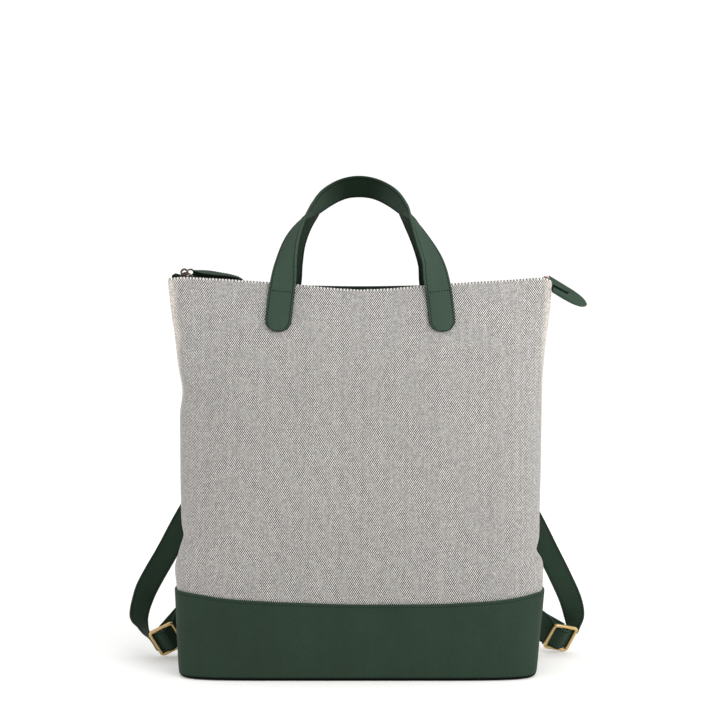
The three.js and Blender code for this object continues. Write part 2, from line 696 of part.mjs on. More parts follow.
function pullRing() {
  const geometry = new THREE.TorusGeometry(5.2, 0.75, 8, 22);
  geometry.rotateY(0.06);
  geometry.translate(-176.6, 0, 420.1);
  return geometry;
}
add('pull_ring', pullRing(), COLOURS.steel, 1, 0.35);

// Leather pull: a tongue looped on the ring that widens to a rounded blade rolled forward
const PULL = [
  { at: -173.8, half: 2.0, middle: 420.0, half_thick: 2.4, roll: 0 },
  { at: -170.2, half: 2.1, middle: 419.7, half_thick: 2.4, roll: 0 },
  { at: -167.0, half: 5.2, middle: 419.2, half_thick: 2.0, roll: 0.18 },
  { at: -158.0, half: 6.4, middle: 417.4, half_thick: 1.7, roll: 0.34 },
  { at: -145.0, half: 6.6, middle: 415.5, half_thick: 1.7, roll: 0.36 },
  { at: -133.0, half: 6.4, middle: 413.8, half_thick: 1.6, roll: 0.34 },
  { at: -127.0, half: 5.0, middle: 412.6, half_thick: 1.5, roll: 0.3 },
  { at: -124.2, half: 2.4, middle: 411.6, half_thick: 1.2, roll: 0.2 },
];

async function zipPull() {
  const rings = [];
  for (const row of PULL) {
    const nip = 0.8;
    const [w, h] = [row.half, row.half_thick];
    const pairs = [
      [-w + nip, -h], [w - nip, -h], [w, -h + nip], [w, h - nip],
      [w - nip, h], [-w + nip, h], [-w, h - nip], [-w, -h + nip],
    ];
    rings.push(pairs.map(([y, z]) => V(row.at, y, row.middle + z + y * row.roll)));
  }
  const body = loft(rings, 'fan');
  const eye = new THREE.CylinderGeometry(1.4, 1.4, 12, 14);
  eye.translate(-171.6, 0, 419.77);
  return cut(body, eye);
}

// Zip end tab: a leather strip folded along its length, open above, closed at its tip
const TAB = [
  { at: 0, rear: 8.0, front: -1.5, floor: -8.2, gap: 1.9, square: 1 },
  { at: 9.5, rear: 8.2, front: -1.3, floor: -8.2, gap: 1.9, square: 0.6 },
  { at: 21, rear: 8.2, front: 0.4, floor: -8.0, gap: 1.8, square: 0.15 },
  { at: 29.5, rear: 7.6, front: 2.4, floor: -7.4, gap: 0.9, square: 0 },
  { at: 36, rear: 6.2, front: 3.0, floor: -6.0, gap: 0.6, square: 0 },
  { at: 40.5, rear: 4.2, front: 2.6, floor: -3.6, gap: 0.6, square: 0 },
  { at: 42.5, rear: 2.2, front: 1.6, floor: -1.4, gap: 0.6, square: 0 },
];
const TAB_START = V(206.6, 0, 406);
const TAB_RUN = V(0.845, -0.06, -0.53).normalize();
const TAB_RISE = V(0.48, 0.42, 0.77);

function zipEndTab() {
  const ahead = TAB_RUN;
  const rise = TAB_RISE.clone().addScaledVector(ahead, -TAB_RISE.dot(ahead)).normalize();
  const back = ahead.clone().cross(rise).negate();
  if (back.y < 0) back.negate();
  const rings = [];
  for (const row of TAB) {
    const inner = row.gap / 2;
    const outer = inner + 1.9;
    const pairs = [
      [-outer, row.front], [-outer, row.floor + 1.6],
      [-inner * 0.6, row.floor - 0.2], [inner * 0.6, row.floor - 0.2],
      [outer, row.floor + 1.6], [outer, row.rear],
      [inner, row.rear], [inner, row.floor + 2.6],
      [inner * 0.4, row.floor + 1.9], [-inner * 0.4, row.floor + 1.9],
      [-inner, row.floor + 2.6], [-inner, row.front],
    ];
    const slip = (-row.square * rise.x) / ahead.x;
    const middle = TAB_START.clone().addScaledVector(ahead, row.at);
    const spot = (p, q) => middle.clone().addScaledVector(back, p).addScaledVector(rise, q);
    rings.push(pairs.map(([p, q]) => spot(p, q).addScaledVector(ahead, q * slip)));
  }
  const handed = back.clone().cross(rise).dot(ahead) > 0;
  return loft(handed ? rings : rings.map((ring) => [...ring].reverse()), 'strip');
}
add('zip_end_tab', zipEndTab(), COLOURS.leather, 0, 0.55);

// Cut one closed body out of another
async function cut(body, tool) {
  const { default: Module } = await import('manifold-3d');
  const wasm = await Module();
  wasm.setup();
  const solidOf = (geometry) => {
    const bare = new THREE.BufferGeometry();
    bare.setAttribute('position', geometry.getAttribute('position'));
    if (geometry.index) bare.setIndex(geometry.index);
    const merged = mergeVertices(bare, 1e-4);
    const mesh = new wasm.Mesh({
      numProp: 3,
      vertProperties: new Float32Array(merged.getAttribute('position').array),
      triVerts: new Uint32Array(merged.index.array),
    });
    return new wasm.Manifold(mesh);
  };
  const mesh = solidOf(body).subtract(solidOf(tool)).getMesh();
  const result = new THREE.BufferGeometry();
  result.setAttribute('position', new THREE.Float32BufferAttribute(mesh.vertProperties, 3));
  result.setIndex(new THREE.Uint32BufferAttribute(mesh.triVerts, 1));
  result.computeVertexNormals();
  return result;
}
add('zip_pull', await zipPull(), COLOURS.leather, 0, 0.55);

export default group;
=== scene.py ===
"""Canvas backpack with a leather base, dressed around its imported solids."""

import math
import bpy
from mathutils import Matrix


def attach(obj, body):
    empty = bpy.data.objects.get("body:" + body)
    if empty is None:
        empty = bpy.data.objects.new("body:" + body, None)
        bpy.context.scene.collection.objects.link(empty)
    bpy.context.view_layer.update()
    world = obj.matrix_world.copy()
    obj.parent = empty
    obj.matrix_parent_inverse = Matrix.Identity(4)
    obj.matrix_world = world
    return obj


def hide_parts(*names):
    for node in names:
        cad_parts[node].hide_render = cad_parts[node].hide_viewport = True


bl_info = {
    "name": "Canvas Backpack",
    "version": (1, 0, 0),
    "blender": (4, 5, 0),
    "location": "View3D > Sidebar > Backpack",
    "description": "Builds the cloth, leather and metal pieces of a canvas backpack",
    "category": "Object",
}

import bpy
import numpy as np
from mathutils import Matrix, Vector

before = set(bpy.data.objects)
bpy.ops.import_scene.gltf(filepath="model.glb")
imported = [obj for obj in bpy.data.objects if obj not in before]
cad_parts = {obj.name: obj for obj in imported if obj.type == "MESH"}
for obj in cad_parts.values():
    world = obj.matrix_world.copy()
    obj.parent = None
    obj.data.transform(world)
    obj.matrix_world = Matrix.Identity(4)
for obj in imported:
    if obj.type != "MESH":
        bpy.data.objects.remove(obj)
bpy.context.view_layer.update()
MM = 0.001

SIDES = ("front", "back")

# Sizes in millimetres
CANVAS_WALL = 2.0
CLOTH_THICK = 1.8
LEATHER_WALL = 2.0
CLEARANCE = 0.3
SEAM_LAP = 8.0
BASE_FLOOR = 2.5
HANDLE_WIDTH = 28.0
HANDLE_THICK = 3.0
HANDLE_CORNER = 12.5
HANDLE_LIFT = CLEARANCE + 0.5 + HANDLE_THICK / 2
STRAP_WIDTH = 25.0
STRAP_THICK = 2.0
STRAP_LIFT = CLEARANCE + 0.25 + STRAP_THICK / 2
STRAP_END_LIFT = CLEARANCE + 0.7 + STRAP_THICK / 2
STITCH_HEIGHT = 0.8
SEAM_INSET = 2.4
SEAM_LEVEL, RIM_LEVEL, RING_LEVEL = 80, 405, 60
FOOT_TOP = 10.0
LIP_DEPTH = 4.8
LIP_SEAM = 3.1
HANDLE_HELD = 48.0
CROSSING_AT, CROSSING_HALF = 43.5, 10.6
LAYER_WIDTHS = (33.0, 30.4)
BACKING_DEPTH, BACKING_DROP = 6.7, 3.0
BACKING_RUN = (-15.3, -6, 0, 6, 13.2)
ZIP_FROM, ZIP_TO = -177.8, 182
TEETH_FROM, TEETH_TO, TOOTH_PITCH = -163, 169.6, 1.25
TAB_WALL = 1.9
TOOTH_LONG, TOOTH_WIDE, TOOTH_TALL, TOOTH_DROP = 1.5, 2.6, 1.9, 2.6
BUCKLE_LONG, BUCKLE_WIDE = 30.0, 37.0
BUCKLE_BAR, BUCKLE_THICK, BUCKLE_CORNER = 3.6, 3.2, 5.0
PATCH_HALF, PATCH_REACH, PATCH_MIDDLE, PATCH_CORNER = 60.0, 25.0, 363.0, 8.0

# Shares and counts
STITCH_SHARE = 0.58
# Least share of painted shade on each handle's inner face
HANDLE_PAINTED_SHADE = {"front": 0.42, "back": 0.75}
STRAP_STEPS = 320

# Sections of the wall: height, half_width, shift, front, back, flat, round
SECTIONS = np.array([
    (0, 181.7, -2.4, 63.0, 60.0, 0.28, 0.28),
    (40, 185.7, -1.6, 61.8, 60.0, 0.37, 0.37),
    (85, 189.8, -0.4, 60.5, 60.0, 0.46, 0.44),
    (108, 191.0, -0.7, 61.0, 60.0, 0.50, 0.48),
    (138, 187.0, 0.2, 60.5, 59.0, 0.56, 0.55),
    (200, 188.5, 0.5, 57.5, 56.0, 0.62, 0.66),
    (260, 190.0, 0.7, 51.0, 49.5, 0.70, 0.85),
    (310, 191.6, 0.9, 43.0, 42.0, 0.80, 1.10),
    (345, 195.2, 0.6, 35.5, 35.0, 0.88, 1.35),
    (380, 200.4, 0.5, 26.5, 26.0, 0.95, 1.60),
    (400, 202.8, 0.2, 19.5, 19.5, 1.00, 1.80),
    (418, 204.5, 0.0, 14.5, 14.5, 1.00, 1.90),
])

# Rim of the canvas: across, front, back, tilt
RIM = np.array([
    (0, 399.8, 402.5, 0.0), (30, 401.4, 403.2, 0.3), (66, 405.0, 405.6, 0.6),
    (127, 409.6, 409.6, 0.8), (165, 412.2, 412.2, 0.8), (186, 413.6, 413.6, 0.5),
    (197, 413.2, 413.2, 0.3), (206, 410.2, 410.2, 2.2),
])

# Seam between canvas and base: x, up
SEAM = np.array([
    (-205, 87.5), (-184, 87.3), (-164, 85.6), (-143, 83.0), (-123, 81.4), (-102, 80.4), (-82, 79.4),
    (-61, 78.8), (-20, 77.4), (20, 77.1), (61, 77.3), (82, 77.5), (102, 78.4), (123, 79.4),
    (143, 80.8), (164, 83.4), (184, 86.6), (205, 87.2),
])

# Foot of the base: step, inset, z
FOOT = np.array([(0, 5.4, 0.0), (1, 2.9, 0.6), (2, 1.1, 2.0), (3, 0.2, 4.8), (4, 0.0, FOOT_TOP)])

# Lip of the base: sink, distance below the seam
LIP = (
    (0, LIP_DEPTH), (0.12, 3.8), (0.26, LIP_SEAM), (0.12, 2.4), (0, 1.7), (0, 1.0), (0.25, 0.3),
    (0.7, 0.0), (1.3, 0.0), (1.75, 0.3), (2.0, 0.9),
)

# Heights between which the folds come and go
FOLDS_COME, FOLDS_GO = (92, 120), (385, 405)

# side, x, z, depth, reach along, reach across, turn in degrees
FOLDS = (
    ("both", -196, 294, -3.0, 46, 16, 0),
    ("front", -198, 352, -2.0, 22, 7, 0),
    ("both", -196, 141, -2.2, 34, 11, 0),
    ("both", 196, 127, -3.4, 40, 9, 0),
    ("both", -196, 103, 1.8, 60, 16, 0),
    ("front", 150, 106, 2.0, 40, 16, 0),
    ("front", 0, 330, -2.5, 60, 60, 0),
    ("front", -60, 180, 2.0, 70, 70, 0),
    ("front", 90, 240, 1.5, 60, 60, 0),
)

# Finer creases of the cloth, in the same columns
CREASES = (
    ("front", -178, 302, 1.3, 20, 4.5, 62),
    ("front", -187, 290, -1.0, 15, 4.0, 60),
    ("front", -150, 318, -0.8, 46, 9, 38),
    ("front", 176, 121, -1.5, 26, 5.0, 24),
    ("front", 172, 110, 1.1, 24, 7.0, 28),
    ("front", 150, 138, 0.6, 40, 8.0, 24),
    ("front", -172, 138, -1.0, 24, 5.0, -20),
    ("front", -168, 124, 0.9, 26, 7.0, -22),
    ("front", -120, 210, 0.7, 90, 14, 74),
    ("front", -60, 260, -0.7, 80, 16, 80),
    ("front", 20, 220, 0.6, 90, 18, 96),
    ("front", 110, 300, -0.7, 70, 14, 100),
    ("front", 150, 220, 0.6, 70, 12, 84),
    ("back", -120, 130, 0.9, 40, 9, 24),
    ("back", 120, 150, -0.9, 50, 10, -28),
    ("back", 0, 220, -1.0, 90, 26, 90),
    ("back", -70, 280, 0.6, 60, 14, 70),
    ("back", 90, 300, 0.6, 60, 14, 110),
)

# Crest of the zip: at, crest
ZIP_LINE = np.array([
    (-178, 418.0), (-173, 417.2), (-169, 415.9), (-160, 414.7), (-150, 413.5),
    (-138, 411.3), (-127, 408.9), (-110, 406.8),
    (-90, 405.8), (-45, 404.6), (0, 404.0), (45, 404.6), (90, 405.8), (127, 408.4), (150, 410.2),
    (182, 412.0),
])

# Half of a handle: across, up, off, twist, lean, then the back one's share, drop, twist and lean,
# and whether it is sewn down there
HANDLE = (
    (86.4, 355.2, 0, 0, 0.2, 0.962, 0, 0, 0, True),
    (85.4, 365, 0, 0, 0.2, 0.962, 0, 0, 0, True),
    (84.2, 378, 0, 0, 0.2, 0.962, 0, 0, 0, True),
    (82.8, 392, 0, 0, 0.2, 0.962, 0, 0, 0, True),
    (80.6, 409, 20.5, 13, 0, 0.96, 0, 13, 0.3, False),
    (77.2, 429, 17.8, 36, -0.6, 0.955, 0, 40, 1.0, False),
    (68.6, 453, 16.8, 57, -2.8, 0.96, 0.6, 58, 1.5, False),
    (57.6, 473.2, 16.2, 80, -2.4, 0.98, 1.0, 66, 0.6, False),
    (47.5, 484.0, 15.8, 108, -0.9, 0.99, -0.4, 80, 0, False),
    (33.6, 497.4, 15.3, 125, -0.6, 0.99, -2.4, 113, 0, False),
    (17.0, 506.0, 15.0, 130, -0.8, 1, -2.4, 124, 0, False),
    (0, 508.6, 15.0, 133, -1.2, 1, -2.4, 128, 0, False),
)

# x, z of the strap's upper end on the back wall
STRAP_TOP = ((24, 370), (32, 358), (41.5, 345), (53.5, 329))

# Free run of each strap: x, y, z, then the direction of its outer edge
STRAP_RIGHT = (
    (82, 66, 300, 0.72, 0.05, 0.69), (124, 88, 252, 0.76, 0.05, 0.65),
    (166, 99, 194, 0.82, 0.02, 0.57), (194.5, 99, 146, 0.87, 0, 0.49),
    (213, 94, 108.6, 0.89, 0, 0.45), (225.5, 87, 82.5, 0.9, 0, 0.42),
    (236.4, 80.5, 56.6, 0.93, -0.15, 0.3), (239.6, 77.2, 41, 0.85, -0.45, 0.25),
    (238.8, 74.4, 29, 0.55, -0.8, 0.3),
)
STRAP_LEFT = (
    (-82, 66, 300, -0.72, 0.05, 0.69), (-125, 88, 252, -0.76, 0.05, 0.65),
    (-169, 99, 194, -0.82, 0.02, 0.57), (-199, 99, 146, -0.87, 0, 0.49),
    (-218.6, 94, 108.6, -0.89, 0, 0.45), (-233, 85, 82.6, -0.91, -0.12, 0.4),
    (-239.9, 78, 68.2, -0.9, -0.32, 0.29), (-244, 72, 54.7, -0.79, -0.58, 0.18),
    (-245.4, 67, 46.6, -0.69, -0.72, 0.03), (-245, 61, 38.9, -0.48, -0.86, -0.12),
    (-239.1, 54, 29.2, -0.06, -0.99, -0.02), (-231.2, 47, 20.6, 0, -0.98, 0.15),
)

# The strap through a buckle: along, ahead
BUCKLE_RUN = (
    (-16.6, -7.0), (-15.7, -4.5), (-13.4, -3.3), (-10.8, -3.05), (-6.3, 0.0), (-2.2, 2.75),
    (0, 3.1), (2.2, 2.75), (6.3, 0.0), (10.8, -3.05), (14.2, -3.3),
)

# Each buckle's place, and the strap's way from it to the base
BUCKLES = {
    "right": {
        "middle": (222.4, 62, 18.0), "inward": (-0.947, -0.248, 0.203), "hand": 1,
        "upper": (0.306, -0.512, 0.803), "way": ((200, 61.4, 32), (186, 60, 41.5)),
        "edge": (0.40, -0.2, 0.9), "sewn": ((165, 47), (155, 48.4), (143, 49)),
        "run": STRAP_RIGHT,
        "end": ((220.6, 70, 19.1), (208.5, 68, 26.2), (196.5, 66, 33.3), (179.3, 68.2, 43.4),
                (168, 69, 48)),
        "end_edge": (0.507, 0, 0.861), "pinch": 6.0,
    },
    "left": {
        "middle": (-210.6, 37.2, 21.7), "inward": (0.899, 0.056, 0.437), "hand": -1,
        "upper": (-0.366, -0.49, 0.793), "way": ((-191, 50.0, 42), (-183, 60.0, 51)),
        "edge": (-0.68, -0.2, 0.70), "sewn": ((-168, 55), (-157, 56.6), (-145, 57)),
        "run": STRAP_LEFT,
        "end": ((-209.4, 46, 23.5), (-200.5, 49, 33.6), (-191.2, 53, 44), (-181, 62, 55.5),
                (-174, 70, 62)),
        "end_edge": (-0.749, 0, 0.662), "pinch": 0.0,
    },
}

# Slider: two corners of its body, then middle, turn, radius and wire of its bridge and its ring
SLIDER_CORNERS = (-190.2, -3.2, 415.95), (-180.4, 3.2, 418.1)
SLIDER_BRIDGE = (-186.9, 0, 419.2), (math.pi / 2, 0, 0), 3.3, 1.1
PULL_RING = (-180.3, 0, 419.3), (1.15, 0, 0.15), 3.5, 0.95

# Leather pull: at, half, middle, half_thick, roll
PULL = np.array([
    (-177.4, 3.4, 419.5, 1.9, 0.2), (-173.8, 4.6, 419.1, 1.8, 0.27),
    (-169.0, 5.7, 418.6, 1.6, 0.38), (-160.0, 6.4, 417.7, 1.35, 0.43),
    (-150.0, 6.5, 416.3, 1.4, 0.37), (-139.0, 6.4, 414.7, 1.5, 0.28),
    (-130.0, 5.6, 412.7, 1.4, 0.21), (-126.6, 4.2, 411.5, 1.2, 0.18),
    (-124.6, 2.0, 410.8, 1.0, 0.1),
])

# Folded tab: at, rear, front, floor, gap, square
TAB = np.array([
    (-1.4, 8.0, -4.1, -8.2, 1.5, 1), (0, 8.0, -3.9, -8.2, 1.7, 1), (9.5, 8.2, -3.0, -8.2, 1.9, 0.6),
    (17.0, 8.2, -2.2, -8.1, 1.8, 0.25), (19.0, 8.1, 0.2, -8.05, 1.4, 0.18),
    (21.6, 7.9, 3.6, -8.0, 1.0, 0.1), (28.5, 7.2, 4.6, -7.4, 0.7, 0),
    (34.4, 6.0, 3.7, -6.0, 0.6, 0), (37.8, 4.6, 2.7, -4.5, 0.6, 0),
    (39.8, 3.1, 1.6, -2.9, 0.6, 0), (41.2, 1.2, 0.4, -1.1, 0.6, 0),
])
TAB_START, TAB_RUN, TAB_RISE = (205.7, 0, 406), (0.845, -0.06, -0.53), (0.48, 0.42, 0.77)

# Copper stop at the right end of the zip, in metres
STOP_X, STOP_Z = 0.1982, 0.4141
STOP_LONG, STOP_WIDE, STOP_TALL, STOP_FALL = 0.005, 0.004, 0.0018, 0.001

# Right end of the zip: x, y, z, then the direction of its edge
ZIP_RIGHT_END = (
    (193, 0, 413.0, 0, 1, 0), (198, 0, 413.2, 0, 1, 0.1), (201.5, 0.6, 411.3, 0.2, 0.9, 0.3),
    (203.8, 0.6, 407.0, 0.4, 0.7, 0.6), (206.2, -1.1, 403.1, 0.48, 0.42, 0.77),
    (212.9, -1.24, 399.8, 0.48, 0.42, 0.77), (220.2, -1.34, 396.2, 0.48, 0.42, 0.77),
)


class ClothSettings(bpy.types.PropertyGroup):
    """Sizes and colours of the woven canvas."""

    yarn_width: bpy.props.FloatProperty(
        name="Yarn width", description="Width of one warp yarn", default=0.00107,
        min=0.0003, unit="LENGTH")
    yarn_height: bpy.props.FloatProperty(
        name="Yarn height", description="Height of one weft yarn", default=0.00161,
        min=0.0003, unit="LENGTH")
    light_yarn: bpy.props.FloatVectorProperty(
        name="Light yarn", description="Colour of the light yarn", subtype="COLOR",
        size=3, default=(0.665, 0.648, 0.628), min=0, max=1)
    dark_yarn: bpy.props.FloatVectorProperty(
        name="Dark yarn", description="Colour of the dark yarn", subtype="COLOR",
        size=3, default=(0.020, 0.018, 0.017), min=0, max=1)
    # Painted sheen: a lighter, warmer colour mixed into the cloth beside the side seams, where the
    # wall turns away
    painted_seam_sheen: bpy.props.FloatVectorProperty(
        name="Side edge", description="Colour of the cloth beside the side seams", subtype="COLOR",
        size=3, default=(0.66, 0.60, 0.54), min=0, max=1)
    crease: bpy.props.FloatProperty(
        name="Crease", description="Depth of the fine creases against the table",
        default=1.0, min=0, max=2)


class LeatherSettings(bpy.types.PropertyGroup):
    """Colours and grain of the leather."""

    base: bpy.props.FloatVectorProperty(
        name="Leather", description="Colour of the base and the patch", subtype="COLOR",
        size=3, default=(0.0255, 0.0455, 0.0308), min=0, max=1)
    # Lighter than the base leather: partly the leather's own colour and partly painted light for
    # the brighter handles, pull and tab
    handle: bpy.props.FloatVectorProperty(
        name="Handle leather", description="Colour of the handles, pull and tab",
        subtype="COLOR", size=3, default=(0.0452, 0.0742, 0.0540), min=0, max=1)
    strap: bpy.props.FloatVectorProperty(
        name="Strap leather", description="Colour of the shoulder straps", subtype="COLOR",
        size=3, default=(0.0245, 0.0455, 0.0292), min=0, max=1)
    # Painted shade: dark colour mixed into the handles' inner faces, the foot of the base, the
    # pull's underside and the tab's slit
    lining: bpy.props.FloatVectorProperty(
        name="Painted shade", description="Colour of the inner faces of the handles",
        subtype="COLOR", size=3, default=(0.0075, 0.0165, 0.0092), min=0, max=1)
    grain: bpy.props.FloatProperty(
        name="Grain", description="Width of one grain cell", default=0.0011, min=0.0002,
        unit="LENGTH")


class TrimSettings(bpy.types.PropertyGroup):
    """Colours of the metal, zip tape and thread."""

    brass: bpy.props.FloatVectorProperty(
        name="Brass", description="Colour of the slide buckles", subtype="COLOR",
        size=3, default=(0.62, 0.44, 0.205), min=0, max=1)
    copper: bpy.props.FloatVectorProperty(
        name="Copper", description="Colour of the zip's stop", subtype="COLOR",
        size=3, default=(0.36, 0.20, 0.13), min=0, max=1)
    metal: bpy.props.FloatVectorProperty(
        name="Zip metal", description="Colour of the zip's metal", subtype="COLOR",
        size=3, default=(0.125, 0.092, 0.068), min=0, max=1)
    tape: bpy.props.FloatVectorProperty(
        name="Zip tape", description="Colour of the zip tape", subtype="COLOR",
        size=3, default=(0.0070, 0.0140, 0.0095), min=0, max=1)
    thread: bpy.props.FloatVectorProperty(
        name="Thread", description="Colour of the sewing thread", subtype="COLOR",
        size=3, default=(0.0030, 0.0060, 0.0042), min=0, max=1)
    stitch: bpy.props.FloatProperty(
        name="Stitch", description="Distance from one stitch to the next", default=0.0027,
        min=0.001, unit="LENGTH")


class StageSettings(bpy.types.PropertyGroup):
    """Camera and light."""

    lens: bpy.props.FloatProperty(
        name="Lens", description="Focal length of the camera", default=68.6, unit="CAMERA")
    distance: bpy.props.FloatProperty(
        name="Distance", description="Camera distance from the bag's middle", default=1.46,
        unit="LENGTH")
    height: bpy.props.FloatProperty(
        name="Height", description="Camera height above the floor", default=0.326,
        unit="LENGTH")
    sky: bpy.props.FloatProperty(
        name="Room light", description="Strength of the even white light", default=0.44)
    key: bpy.props.FloatProperty(
        name="Key light", description="Power of the soft light from the right", default=14.6)
    side: bpy.props.FloatProperty(
        name="Side lights", description="Power of the weak light at each side", default=6.5)
    overhead: bpy.props.FloatProperty(
        name="Overhead light", description="Strength of the soft light from above", default=1.25)


# Tables and curves
def smooth(low, high, value):
    """Smooth step from 0 at low to 1 at high."""
    share = np.clip((np.asarray(value, float) - low) / (high - low), 0, 1)
    return share * share * (3 - 2 * share)


def row_at(rows, at):
    """Columns of a table at each position of its first column, on smooth curves."""
    lead = rows[:, 0]
    place = np.clip(np.asarray(at, float), lead[0], lead[-1])
    k = np.clip(np.searchsorted(lead, place, "left") - 1, 0, len(lead) - 2)
    before, after = np.maximum(k - 1, 0), np.minimum(k + 2, len(lead) - 1)
    span = lead[k + 1] - lead[k]
    t = (place - lead[k]) / span
    found = []
    for column in rows.T[1:]:
        slope_a = (column[k + 1] - column[before]) / (lead[k + 1] - lead[before]) * span
        slope_b = (column[after] - column[k]) / (lead[after] - lead[k]) * span
        found.append((2 * t**3 - 3 * t**2 + 1) * column[k] + (t**3 - 2 * t**2 + t) * slope_a
                     + (3 * t**2 - 2 * t**3) * column[k + 1] + (t**3 - t**2) * slope_b)
    return found


def unit(vectors):
    vectors = np.asarray(vectors, float)
    return vectors / np.maximum(np.linalg.norm(vectors, axis=-1, keepdims=True), 1e-12)


def distances(points, axis=0):
    """Distance gone along points, from 0, on one axis of their array."""
    steps = np.linalg.norm(np.diff(points, axis=axis), axis=-1)
    return np.insert(np.cumsum(steps, axis=axis), 0, 0.0, axis=axis)


def sampled(at, gone, rows):
    """Rows of numbers read at places along their distances."""
    return np.stack([np.interp(at, gone, column) for column in rows.T], axis=-1)


def curve_points(knots, places):
    """Centripetal curve through knots at places from 0 to 1."""
    knots = np.asarray(knots, float)
    ends = len(knots) - 1
    padded = np.vstack([2 * knots[0] - knots[1], knots, 2 * knots[-1] - knots[-2]])
    at = np.clip(np.asarray(places, float), 0, 1) * ends
    k = np.minimum(np.floor(at).astype(int), ends - 1)
    w = (at - k)[:, None]
    p0, p1, p2, p3 = (padded[k + i] for i in range(4))
    d0, d1, d2 = (np.sqrt(np.linalg.norm(b - a, axis=1))[:, None]
                  for a, b in ((p0, p1), (p1, p2), (p2, p3)))
    d1 = np.where(d1 < 1e-2, 1.0, d1)
    d0 = np.where(d0 < 1e-2, d1, d0)
    d2 = np.where(d2 < 1e-2, d1, d2)
    t1 = ((p1 - p0) / d0 - (p2 - p0) / (d0 + d1) + (p2 - p1) / d1) * d1
    t2 = ((p2 - p1) / d1 - (p3 - p1) / (d1 + d2) + (p3 - p2) / d2) * d1
    return (p1 + t1 * w + (-3 * p1 + 3 * p2 - 2 * t1 - t2) * w**2
            + (2 * p1 - 2 * p2 + t1 + t2) * w**3)


# Wall of the bag
def relief(table, side, x, z):
    """Height of a table's folds at places on a wall."""
    total = np.zeros_like(x)
    for where, cx, cz, depth, reach, across, turn in table:
        if where not in ("both", side):
            continue
        c, s = math.cos(math.radians(turn)), math.sin(math.radians(turn))
        p = ((x - cx) * c + (z - cz) * s) / reach
        q = ((z - cz) * c - (x - cx) * s) / across
        total += depth * np.exp(-p * p - q * q)
    return total


def wall(side, share, height, outward, crease=0.0):
    """Points of the bag's wall: share runs from the left seam to the right one."""
    share, height, outward = np.broadcast_arrays(
        np.asarray(share, float), np.asarray(height, float), np.asarray(outward, float))
    shape = share.shape
    share, height, outward = share.ravel(), height.ravel(), outward.ravel()
    half, shift, front, back, flat, round_ = row_at(SECTIONS, height)
    depth = -front if side == "front" else back
    profile_points, nearby = 121, 0.006
    angle = np.linspace(0, math.pi, profile_points)
    c, s = -np.cos(angle), np.maximum(np.sin(angle), 0)
    s[0] = s[-1] = 0
    xs = shift[:, None] + half[:, None] * np.sign(c) * np.abs(c) ** flat[:, None]
    ys = depth[:, None] * s ** round_[:, None]
    ys[:, 0] = ys[:, -1] = 0
    steps = np.hypot(np.diff(xs, axis=1), np.diff(ys, axis=1))
    lengths = np.concatenate([np.zeros((len(xs), 1)), np.cumsum(steps, axis=1)], axis=1)
    total = lengths[:, -1]

    def along(part):
        want = np.clip(part, 0, 1) * total
        return np.array([(np.interp(w, l, x), np.interp(w, l, y))
                         for w, l, x, y in zip(want, lengths, xs, ys)])

    here = along(share)
    tangent = unit(along(share + nearby) - along(share - nearby))
    turn = 1 if side == "front" else -1
    normal = np.stack([turn * tangent[:, 1], -turn * tangent[:, 0]], axis=1)
    fade = smooth(*FOLDS_COME, height) * (1 - smooth(*FOLDS_GO, height))
    push = outward + relief(FOLDS, side, here[:, 0], height) * fade
    if crease:
        push = push + crease * relief(CREASES, side, here[:, 0], height) * fade
    flat_point = here + normal * push[:, None]
    limit = CLEARANCE / 2
    y = flat_point[:, 1]
    y = np.minimum(y, -limit) if side == "front" else np.maximum(y, limit)
    return np.stack([flat_point[:, 0], y, height], axis=1).reshape(*shape, 3)


def on_wall(side, x, height, outward):
    """Point on a wall at x and a height, with its normal and its directions along and up."""
    x, height = np.broadcast_arrays(np.asarray(x, float), np.asarray(height, float))
    low, high = np.zeros(x.shape), np.ones(x.shape)
    halvings = 26
    for _ in range(halvings):
        middle = (low + high) / 2
        left = wall(side, middle, height, CANVAS_WALL)[..., 0] < x
        low, high = np.where(left, middle, low), np.where(left, high, middle)
    share = (low + high) / 2
    point = wall(side, share, height, outward)
    aside, above = 0.01, 3
    along = unit(wall(side, share + aside, height, outward)
                 - wall(side, share - aside, height, outward))
    up = unit(wall(side, share, height + above, outward)
              - wall(side, share, height - above, outward))
    normal = unit(np.cross(along, up))
    if side == "back":
        normal = -normal
    return point, normal, along, up


# Meshes
def deselect():
    if bpy.context.object and bpy.context.object.mode != "OBJECT":
        bpy.ops.object.mode_set(mode="OBJECT")
    bpy.ops.object.select_all(action="DESELECT")


def pick(*objs):
    """Selects these objects alone, the last one active."""
    deselect()
    for obj in objs:
        obj.select_set(True)
        bpy.context.view_layer.objects.active = obj


def added(primitive, name, **settings):
    """A new primitive under a name."""
    deselect()
    primitive(**settings)
    obj = bpy.context.object
    obj.name = obj.data.name = name
    return obj


def edit(obj):
    """Opens an object in edit mode with all of it selected."""
    pick(obj)
    bpy.ops.object.mode_set(mode="EDIT")
    bpy.ops.mesh.select_all(action="SELECT")


def leave(obj, angle=45):
    """Back to object mode, with normals outwards and shading smooth up to an angle."""
    bpy.ops.mesh.select_all(action="SELECT")
    bpy.ops.mesh.normals_make_consistent(inside=False)
    bpy.ops.object.mode_set(mode="OBJECT")
    bpy.ops.object.shade_smooth_by_angle(angle=math.radians(angle))
    return obj


def apply(obj, kind, **settings):
    """Adds a modifier with its settings and applies it."""
    pick(obj)
    made = obj.modifiers.new(kind.title(), kind)
    for key, value in settings.items():
        setattr(made, key, value)
    bpy.ops.object.modifier_apply(modifier=made.name)


def bevelled(obj, width, segments, limit=None):
    """Bevels all edges, or those sharper than a limit in degrees. The width is in millimetres."""
    apply(obj, "BEVEL", width=width * MM, segments=segments,
          limit_method="ANGLE" if limit else "NONE", angle_limit=math.radians(limit or 0))


